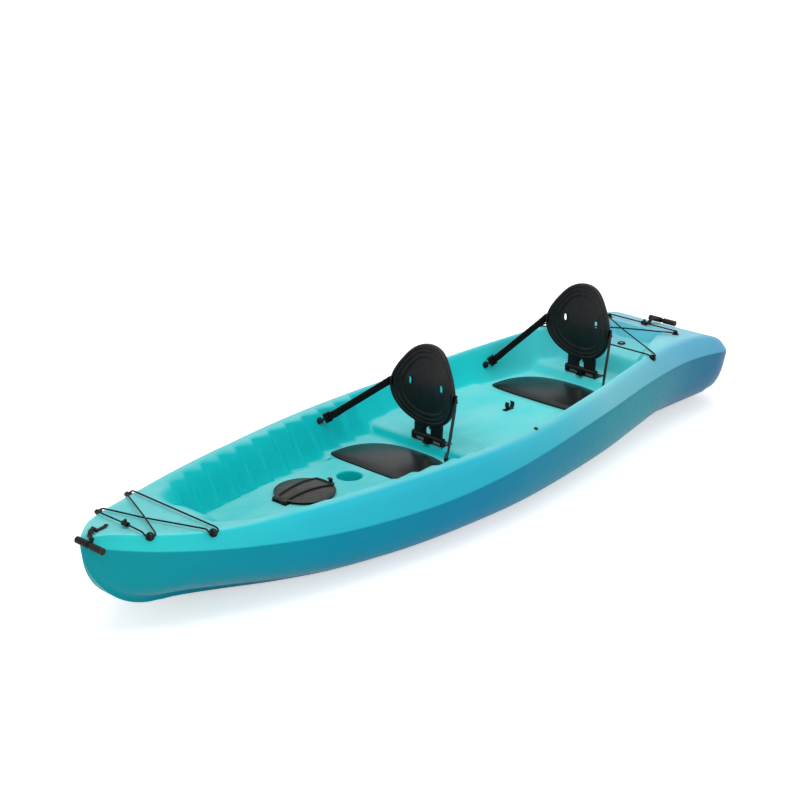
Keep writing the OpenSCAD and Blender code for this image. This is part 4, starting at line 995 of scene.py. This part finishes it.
def seat_back(name, hinge):
    profile = rounded(BACK_PROFILE, BACK_CUTS)
    between = []
    for a, b in zip(profile[:-1], profile[1:]):
        parts = max(1, int(norm(b - a) / 14))
        between += [a + (b - a) * k / parts for k in range(parts)]
    between.append(profile[-1])
    turn = [2 * pi * i / BACK_COUNT - pi / 2 for i in range(BACK_COUNT)]
    rings = [[leaned(back_point(d, t, a), hinge) for a in turn] for d, t in between]
    rear, face = (leaned((BACK_BELLY + BACK_PROFILE[k][1], 0, BACK_MID), hinge) for k in (0, -1))
    obj = skin_object(name, rings, rear, face, smooth=0)
    arms = [
        (-KNUCKLE_OUT, 0), (-KNUCKLE_OUT, WEB_TOP), (KNUCKLE_OUT, WEB_TOP), (KNUCKLE_OUT, 0),
        (KNUCKLE_IN, 0), (KNUCKLE_IN, ARM_TOP), (NOTCH_HALF_W, ARM_TOP), (NOTCH_HALF_W, NOTCH_TOP),
        (-NOTCH_HALF_W, NOTCH_TOP), (-NOTCH_HALF_W, ARM_TOP), (-KNUCKLE_IN, ARM_TOP), (-KNUCKLE_IN, 0),
    ]
    web = prism("web", arms, -WEB_HALF_T, WEB_HALF_T, hinge)
    boolean(obj, applied(beveled(web, 2.0, 3)), "UNION")
    for k in (1, -1):
        for z in (42, 60):
            outline = box_slot(k * RIB_IN, k * RIB_OUT, z, z + RIB_H)
            rib = prism("rib", outline, -RIB_HALF_T, RIB_HALF_T, hinge)
            boolean(obj, applied(beveled(rib, 1.2)), "UNION")
        collar = prism("collar", round_slot(k * SLOT_Y, SLOT_Z, 12.5, 7), 23.6, 29.8, hinge)
        boolean(obj, applied(beveled(collar, 1.2)), "UNION")
        boolean(obj, prism("recess", round_slot(k * SLOT_Y, SLOT_Z, 17, 8), -30, 22.1, hinge))
        boolean(obj, prism("slot", round_slot(k * SLOT_Y, SLOT_Z, 8.5, 6), -60, 60, hinge))
        y, z = k * (BACK_W / 2 - 13), STRAP_RISE + STRAP_LIFT
        boolean(obj, prism("strap_slot", box_slot(y - 3, y + 3, z - 18, z + 18), -60, 80, hinge))
        low, high = (KNUCKLE_IN, KNUCKLE_OUT) if k > 0 else (-KNUCKLE_OUT, -KNUCKLE_IN)
        boolean(obj, tube_y("knuckle", low, high, KNUCKLE_R, hinge, 48, 1.0), "UNION")
    boolean(obj, prism("notch", box_slot(-NOTCH_HALF_W, NOTCH_HALF_W, 20, 62), -60, 60, hinge))
    boolean(obj, tube_y("bore", -90, 90, PIN_BORE, hinge))
    finish_shading(obj, 32)
    return obj


# Seat pads: crowned foam with a bound edge. A level is a share of the outline and of the thickness
PAD_LEVELS = (
    (0.96, 0.0), (0.985, 0.04), (0.997, 0.14), (1.0, 0.26), (0.996, 0.36), (0.986, 0.42), (0.974, 0.41),
    (0.965, 0.36), (0.958, 0.34), (0.95, 0.38), (0.935, 0.46), (0.9, 0.56), (0.85, 0.64), (0.78, 0.71),
    (0.7, 0.77), (0.6, 0.83), (0.48, 0.88), (0.36, 0.92), (0.24, 0.945), (0.14, 0.96), (0.06, 0.967),
)
BOUND_LEVELS = 9
PAD_COUNT = 192
PAD_CORE = 0.42 * PAD_LEN


def pad_edge(a):
    c, s, p = cos(a), sin(a), 2 / PAD_POWER
    reach = PAD_NOSE if s >= 0 else PAD_LEN - PAD_NOSE
    x = reach * math.copysign(abs(s) ** (0.55 if s >= 0 else p), s)
    return np.array([x, PAD_W / 2 * math.copysign(abs(c) ** p, c)])


def seat_pad(name, hinge_x, pan_z):
    centre = hinge_x + PAD_GAP + PAD_LEN - PAD_NOSE - PAD_CORE
    edge = [pad_edge(-2 * pi * i / PAD_COUNT) for i in range(PAD_COUNT)]
    rings = []
    for share, lift in PAD_LEVELS:
        z = pan_z + lift * PAD_T
        rings.append([(centre + (e[0] + PAD_CORE) * share, e[1] * share, z) for e in edge])
    obj = skin_object(name, rings, (centre, 0, pan_z), (centre, 0, pan_z + 0.97 * PAD_T), smooth=60)
    bound = np.zeros(len(obj.data.vertices), np.float32)
    bound[: BOUND_LEVELS * PAD_COUNT] = 1
    bound[-2] = 1
    zone(obj, "bound", bound)
    return obj


# Seat straps: straight at the buckle, then on to the slot in the seat back
STRAP_AT_BUCKLE, STRAP_STRAIGHT = 25, 62
STRAP_PARTS, STRAP_PER = 24, 3


def strap_places(hinge_x, hinge_z):
    """Anchor root, run at the buckle and seat end of a port side strap."""
    x = hinge_x + ANCHOR_AHEAD
    high, low = section(x)[WALL_FACET : WALL_FACET + 2, 1]
    share = clamp01((high - ANCHOR_Z) / (high - low))
    root = facet_spot(x, WALL_FACET, share) + ANCHOR_LIFT * facet_out(x, WALL_FACET, share)
    x = hinge_x + STRAP_RISE * sin(BACK_LEAN) + BACK_WRAP - 6
    z = hinge_z + STRAP_RISE * cos(BACK_LEAN)
    start = np.array([x, BACK_W / 2 + 5, z])
    return root, unit(start - root), start + np.array([BACK_BELLY, 0, STRAP_LIFT])


def seat_strap(name, hinge_x, hinge_z, side):
    root, run, start = strap_places(hinge_x, hinge_z)
    a = root + STRAP_AT_BUCKLE * run
    b = root + STRAP_STRAIGHT * run
    corners = [a, b]
    corners += [mix(b, start, k / STRAP_PARTS) for k in range(1, STRAP_PARTS)]
    corners += [start, start + np.array([-10, -5, 0]), start + np.array([-17, -24, 0])]
    route = [flip(p, side) for p in spline(corners, STRAP_PER)]
    flat = unit(np.array([0, 0, 1]) - run[2] * run)
    across = np.cross(run, flat)
    wide = []
    for i in range(len(route)):
        t = clamp01((i - STRAP_PER) / (STRAP_PARTS * STRAP_PER))
        turn = STRAP_TWIST * clamp01(6 * min(t, 1 - t))
        wide.append(flip(flat * cos(turn) + across * sin(turn), side))
    obj = band_object(name, route, STRAP_W, STRAP_T, np.array(wide))
    return obj, flip(a, side) * MM, flip(start, side) * MM


for end, hinge_x, step_z, pan_z in (
    ("front", FRONT_HINGE_X, FRONT_STEP_Z, FRONT_PAN_Z),
    ("rear", REAR_HINGE_X, REAR_STEP_Z, REAR_PAN_Z),
):
    hinge = np.array([hinge_x, 0, step_z + HINGE_RISE])
    shell = seat_back(end + "_back_shell", hinge)
    place(shell, end + "_back", black_plastic, "black_plastic", end + "_seat_back")
    pad = seat_pad(end + "_pad", hinge_x, pan_z)
    place(pad, "hull", seat_foam, "seat_foam", end + "_seat_pad")
    for side, word in ((1, "port"), (-1, "starboard")):
        strap, low, high = seat_strap(end + "_webbing_" + word, hinge_x, hinge[2], side)
        place(strap, None, webbing, "webbing", end + "_strap_" + word)
        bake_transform(strap)

# Hatch lid: dome with fine ribs, a rolled edge and two hinge knuckles
LID_R = HATCH_R + RIM_FLANGE + 6
LID_Z = HATCH_DECK_Z + RIM_H + 1.5
LID_AXIS = np.array([HATCH_X + LID_R + 9, 0, LID_Z + 2.5])
LID_COUNT, LID_EDGE = 144, 1.2
LID_KNUCKLES, LID_KNUCKLE_W, LID_KNUCKLE_R, LID_BORE = (12.0, -25.5), 13.5, 5.5, 3.05
LID_RIB_DEPTH, LID_RIB_PITCH = 0.55, 13

# The lid's top from its edge inward: inset, lift off the dome and share of the ribs' depth
LID_TOP = [(LID_EDGE, 0, 0), (6, 0.6, 0), (8, -1.4, 0), (11, -1.4, 0), (13, 0, 0.3)]
LID_TOP += [(13 + 4 * k, 0, 1) for k in range(1, 25)]


def dome_z(r):
    return LID_Z + LID_T + DOME_H * (1 - (r / LID_R) ** 2)


def hatch_lid():
    levels = [(HATCH_R - 4, LID_Z, 0), (LID_R - 1.5, LID_Z, 0)]
    levels += [(LID_R, LID_Z + LID_EDGE, 0), (LID_R, LID_Z + LID_T - LID_EDGE, 0)]
    levels += [(LID_R - inset, dome_z(LID_R - inset) + lift, rib) for inset, lift, rib in LID_TOP]
    rings = []
    for r, z, rib in levels:
        ring = []
        for i in range(LID_COUNT):
            a = 2 * pi * i / LID_COUNT
            x, y = r * cos(a), r * sin(a)
            fan = y / (1.25 - 0.35 * x / LID_R)
            wave = cos(2 * pi * fan / LID_RIB_PITCH) - 1
            ring.append((HATCH_X + x, y, z + rib * LID_RIB_DEPTH * wave))
        rings.append(ring)
    obj = skin_object("hatch_dome", rings, (HATCH_X, 0, LID_Z + DOME_H), (HATCH_X, 0, dome_z(0)), smooth=0)
    for y0 in LID_KNUCKLES:
        y1 = y0 + LID_KNUCKLE_W
        arm = mesh_box("arm", (HATCH_X + LID_R - 8, y0, LID_Z), (LID_AXIS[0], y1, LID_Z + LID_T))
        boolean(obj, arm, "UNION")
        boolean(obj, tube_y("knuckle", y0, y1, LID_KNUCKLE_R, LID_AXIS, 32, 0.6), "UNION")
    boolean(obj, tube_y("bore", -40, 40, LID_BORE, LID_AXIS, 32))
    finish_shading(obj, 32)
    return obj


place(hatch_lid(), "hatch_cover", hatch_plastic, "hatch_plastic", "hatch_lid")

# Hold-down straps over the lid, wider apart aft than at the hinge
STRAP_AFT, STRAP_FORE, HATCH_STRAP_W, HATCH_STRAP_T = 44.0, 26.0, 9.0, 3.0


def over_lid(x, y):
    r = math.hypot(x, abs(y) - HATCH_STRAP_W / 2)
    return np.array([HATCH_X + x, y, dome_z(r) + HATCH_STRAP_T / 2 + 0.6])


lid_reach = LID_R - 12
lid_bands = [
    band_object(
        "lid_band",
        [over_lid(lid_reach * (i / 12 - 1), k * mix(STRAP_AFT, STRAP_FORE, i / 24)) for i in range(25)],
        HATCH_STRAP_W, HATCH_STRAP_T, (0, 1, 0), 1.0,
    )
    for k in (1, -1)
]
loop = [over_lid(1 - lid_reach, -STRAP_AFT) + (0, -2, 0)]
loop += [over_lid(1 - lid_reach, 0) + (0, 0, 1.2)]
loop += [over_lid(1 - lid_reach, STRAP_AFT) + (0, 2, 0)]
lid_bands.append(band_object("lid_loop", spline(loop), HATCH_STRAP_W, HATCH_STRAP_T, (1, 0, 0), 1.0))
lid_straps = joined("hatch_bands", lid_bands)
finish_shading(lid_straps, 50)
place(lid_straps, "hatch_cover", seal_rubber, "webbing", "hatch_straps")

# Shock cord lacing
EYE_AXIS, EYE_SINK, EYE_REACH = 11.0, 1.2, 17.0
CORD_R = CORD_D / 2
CREST_CLEAR = 6
LACE_BEND = 11


def eye_hole(e, side):
    return flip(facet_spot(*e) + (EYE_AXIS - EYE_SINK) * facet_out(*e), side)


def eye_end(e, side, k):
    return eye_hole(e, side) + k * EYE_REACH * flip(facet_run(*e), side)


def over_crest(x, side):
    return np.array([x, side * crest_y(x / HALF_LEN), crest_z(x / HALF_LEN) + CORD_R + CREST_CLEAR])


def lace(name, route, replaced):
    points = rounded(route, [LACE_BEND] * len(route), 9, 0.46) * MM
    curve = bpy.data.curves.new(name, "CURVE")
    curve.dimensions = "3D"
    curve.bevel_depth = CORD_R * MM
    curve.bevel_resolution = 3
    curve.use_fill_caps = True
    line = curve.splines.new("POLY")
    line.points.add(len(points) - 1)
    for q, p in zip(line.points, points):
        q.co = (*p, 1)
    line.use_smooth = True
    obj = shown(name, curve)
    place(obj, "hull", shock_cord, "shock_cord", replaced)
    length = float(norm(np.diff(points, axis=0), axis=1).sum())


def around(e, side, k):
    """Route over the crest, through a pad eye and back."""
    ends = [over_crest(e[0] + j * EYE_REACH, side) for j in (k, -k)]
    return [ends[0], eye_end(e, side, k), eye_end(e, side, -k), ends[1]]


CROSS = np.array([0, 0, CORD_D * 0.7])
SIDE_STEP = np.array([0, 4, 0])
fore, aft = BOW_EYES
front_x, back_x, rear_front_x = fore[0] + EYE_REACH, fore[0] - EYE_REACH, aft[0] + EYE_REACH
bow_lock = np.array([front_x, 30, over_crest(front_x, 1)[2] + 2])
share = crest_y(back_x / HALF_LEN) / (crest_y(back_x / HALF_LEN) + crest_y(rear_front_x / HALF_LEN))
bow_mid = mix(over_crest(back_x, 1), over_crest(rear_front_x, -1), share)
route = [bow_lock + SIDE_STEP, *around(fore, 1, 1), bow_mid + CROSS, *around(aft, -1, 1)]
route += [*around(aft, 1, -1), bow_mid - CROSS, *around(fore, -1, -1), bow_lock - SIDE_STEP]
lace("bow_lacing", route, "bow_bungee")
far, near = STERN_EYES
lace_back = far[0] - EYE_REACH
stern_lock = mix(eye_end(near, 1, -1), eye_end(near, -1, -1), 0.5)
share = eye_hole(near, 1)[1] / (eye_hole(near, 1)[1] + crest_y(lace_back / HALF_LEN))
stern_mid = mix(eye_end(near, 1, 1), over_crest(lace_back, -1), share)
route = [stern_lock + SIDE_STEP, eye_end(near, 1, -1), eye_end(near, 1, 1), stern_mid + CROSS]
route += [*around(far, -1, -1), *around(far, 1, 1), stern_mid - CROSS]
route += [eye_end(near, -1, 1), eye_end(near, -1, -1), stern_lock - SIDE_STEP]
lace("stern_lacing", route, "stern_bungee")

# Carry handles: webbing that turns on the anchor's pin and runs through the grip
HANDLE_AXIS, HANDLE_EYE_R, HANDLE_BORE = 10.0, 5.4, 3.05
HANDLE_W, HANDLE_T = 17.0, 2.6
GRIP_CORE, GRIP_HALF_W = 9.0, 9.0
BOW_ANCHOR_X = HALF_LEN - 58
STERN_ANCHOR_X = 318 - HALF_LEN
STERN_GRIP_X = 212 - HALF_LEN

# The bow strap's tail: distance aft of the anchor, place across and height over the deck
TAIL = ((26, 3, 3), (40, -2, 3.4), (54, -8, 7))


def deck_z(x):
    return section(x)[-1][1]


def anchor_z(x, drop):
    return min(deck_z(x - 15), deck_z(x + 15)) - drop


def handle_strap(name, body, anchor, route, grip, replaced):
    pin = anchor + (0, 0, HANDLE_AXIS)
    centre = anchor + grip
    eye = tube_y("eye", -HANDLE_W / 2, HANDLE_W / 2, HANDLE_EYE_R, pin, 40, 0.6)
    boolean(eye, tube_y("bore", -40, 40, HANDLE_BORE, pin, 40))
    core = tube_y("core", centre[1] - GRIP_HALF_W, centre[1] + GRIP_HALF_W, GRIP_CORE, centre, 40, 0.5)
    run = band_object("run", spline([anchor + p for p in route], 6), HANDLE_W, HANDLE_T, (0, 1, 0))
    obj = joined(name, [run, eye, core])
    finish_shading(obj, 50)
    place(obj, body, webbing, "webbing", replaced)


bow_anchor = np.array([BOW_ANCHOR_X, 0, anchor_z(BOW_ANCHOR_X, 2.5)])
bow_grip = np.array([64, 58, TIP_Z + 20 - bow_anchor[2]])
route = [(5, 0, 13), (12, 0, 13), (28, 14, 12), (44, 32, 9)]
route += [bow_grip + (-10, -1, 20), bow_grip + (-3, 0, 7)]
handle_strap("bow_handle_webbing", "bow_handle", bow_anchor, route, bow_grip, "bow_handle_strap")
stern_anchor = np.array([STERN_ANCHOR_X, 0, anchor_z(STERN_ANCHOR_X, 1)])
stern_grip = np.array([STERN_GRIP_X - STERN_ANCHOR_X, 0, deck_z(STERN_GRIP_X) + 15 - stern_anchor[2]])
route = [(-5, 0, 12), (-20, 0, 20), (-42, 0, 21), (-72, 0, 14), stern_grip + (5, 0, 4)]
handle_strap("stern_handle_webbing", "stern_handle", stern_anchor, route, stern_grip, "stern_handle_strap")
tail = [bow_anchor + (-7, 5, 6.6), bow_anchor + (-15, 5, 6.8)]
tail += [np.array([BOW_ANCHOR_X - d, y, deck_z(BOW_ANCHOR_X - d) + h]) for d, y, h in TAIL]
place(band_object("bow_strap_tail", spline(tail, 6), 16, 2.2, (0, 1, 0)), "hull", webbing, "webbing")

# Drain plug: a dark ring about a pale cap, from radius and height over the tank well's floor
DRAIN_RING = (
    (0, -8), (DRAIN_R - 0.1, -8), (DRAIN_R - 0.1, 0.2), (16.4, 0.2), (17, 1), (17, 3.5),
    (15.6, 6), (12.6, 6.6), (10.6, 5.4), (9.6, 2.5), (0, 2.5),
)
DRAIN_CAP = ((0, 2.4), (9.4, 2.4), (9.2, 3.2), (6, 4.4), (0, 4.8))


def drain_piece(name, profile, smooth):
    return lathe(name, [(r, TANK_FLOOR_Z + z) for r, z in profile], (DRAIN_X, 0), 48, smooth)


place(drain_piece("drain_ring", DRAIN_RING, 35), "drain", black_plastic, "black_plastic", "drain_plug")
place(drain_piece("drain_cap", DRAIN_CAP, 50), "drain", drain_pale, "hull_plastic")

# Solids that keep their shape get a finish and eased edges, by the ends of their names
FINISHES = (
    (("_rim", "_hook"), black_plastic, 0.6),
    (("_gasket",), seal_rubber, 0.3),
    (("_pin", "_screw", "_screws"), steel, 0.3),
    (("_anchor", "_anchors", "_eyes", "_lock", "_bracket", "_buckles"), black_plastic, 0.8),
    (("_clip", "_plugs"), black_plastic, 0.8),
    (("_grip",), grip_plastic, 1.0),
)
for endings, finish, edge in FINISHES:
    for n in nodes:
        if n.endswith(endings):
            nodes[n].data.materials.clear()
            nodes[n].data.materials.append(finish)
            beveled(nodes[n], edge, 2, 40)
            finish_shading(nodes[n], 35)

# Floor and light, in metres
FLOOR_HALF_W, FLOOR_Z = 14, -0.001


def direct_rays(tree):
    """1 for the rays that show the background itself: camera, glossy and transmission rays."""
    path = add(tree, "LightPath")
    mirrored = maths(tree, "MAXIMUM", path.outputs["Is Glossy Ray"], path.outputs["Is Transmission Ray"])
    return maths(tree, "MAXIMUM", path.outputs["Is Camera Ray"], mirrored)


floor_mesh = bpy.data.meshes.new("floor")
corners = [(x * FLOOR_HALF_W, y * FLOOR_HALF_W, FLOOR_Z) for x, y in ((-1, -1), (1, -1), (1, 1), (-1, 1))]
floor_mesh.from_pydata(corners, [], [(0, 1, 2, 3)])
floor = shown("floor", floor_mesh)
m, tree, bsdf = material("floor")
surface(tree, bsdf, (0.86, 0.86, 0.86, 1), 0.9, 0.5)
glow = add(tree, "Emission", in_strength=0.55)
both = add(tree, "AddShader")
tree.links.new(bsdf.outputs[0], both.inputs[0])
tree.links.new(glow.outputs[0], both.inputs[1])
pick = add(tree, "MixShader")
tree.links.new(direct_rays(tree), pick.inputs[0])
tree.links.new(bsdf.outputs[0], pick.inputs[1])
tree.links.new(both.outputs[0], pick.inputs[2])
tree.links.new(pick.outputs[0], tree.nodes["Material Output"].inputs["Surface"])
floor_mesh.materials.append(m)

# The sky gives more light from behind the object than from the camera's side
world = bpy.data.worlds.new("studio")
scene.world = world
world.use_nodes = True
tree = world.node_tree
sky = tree.nodes["Background"]
sky.inputs["Color"].default_value = (1, 1, 1, 1)
aim = add(tree, "VectorMath", operation="DOT_PRODUCT")
tree.links.new(add(tree, "TexCoord").outputs["Generated"], aim.inputs[0])
aim.inputs[1].default_value = (-0.72, -0.69, 0.0)
behind = spread(tree, aim.outputs["Value"], 0.0, 0.8, 0.42, 0.8)
seen = maths(tree, "MAXIMUM", behind, direct_rays(tree))
tree.links.new(seen, sky.inputs["Strength"])


def lamp(name, spot, aim, size, power):
    data = bpy.data.lights.new(name, "AREA")
    data.shape = "RECTANGLE"
    data.size, data.size_y = size
    data.energy = power
    obj = shown(name, data)
    obj.location = spot
    obj.rotation_mode = "QUATERNION"
    obj.rotation_quaternion = (Vector(aim) - Vector(spot)).to_track_quat("-Z", "Y")


lamp("top", (0.2, 0.3, 4.2), (0, 0, 0), (5.0, 3.0), 115)
lamp("side", (-2.6, 3.6, 2.4), (0, 0, 0.3), (2.5, 1.6), 16)
lamp("bow", (3.2, 2.8, 1.9), (0.7, 0.1, 0.2), (2.0, 1.4), 20)
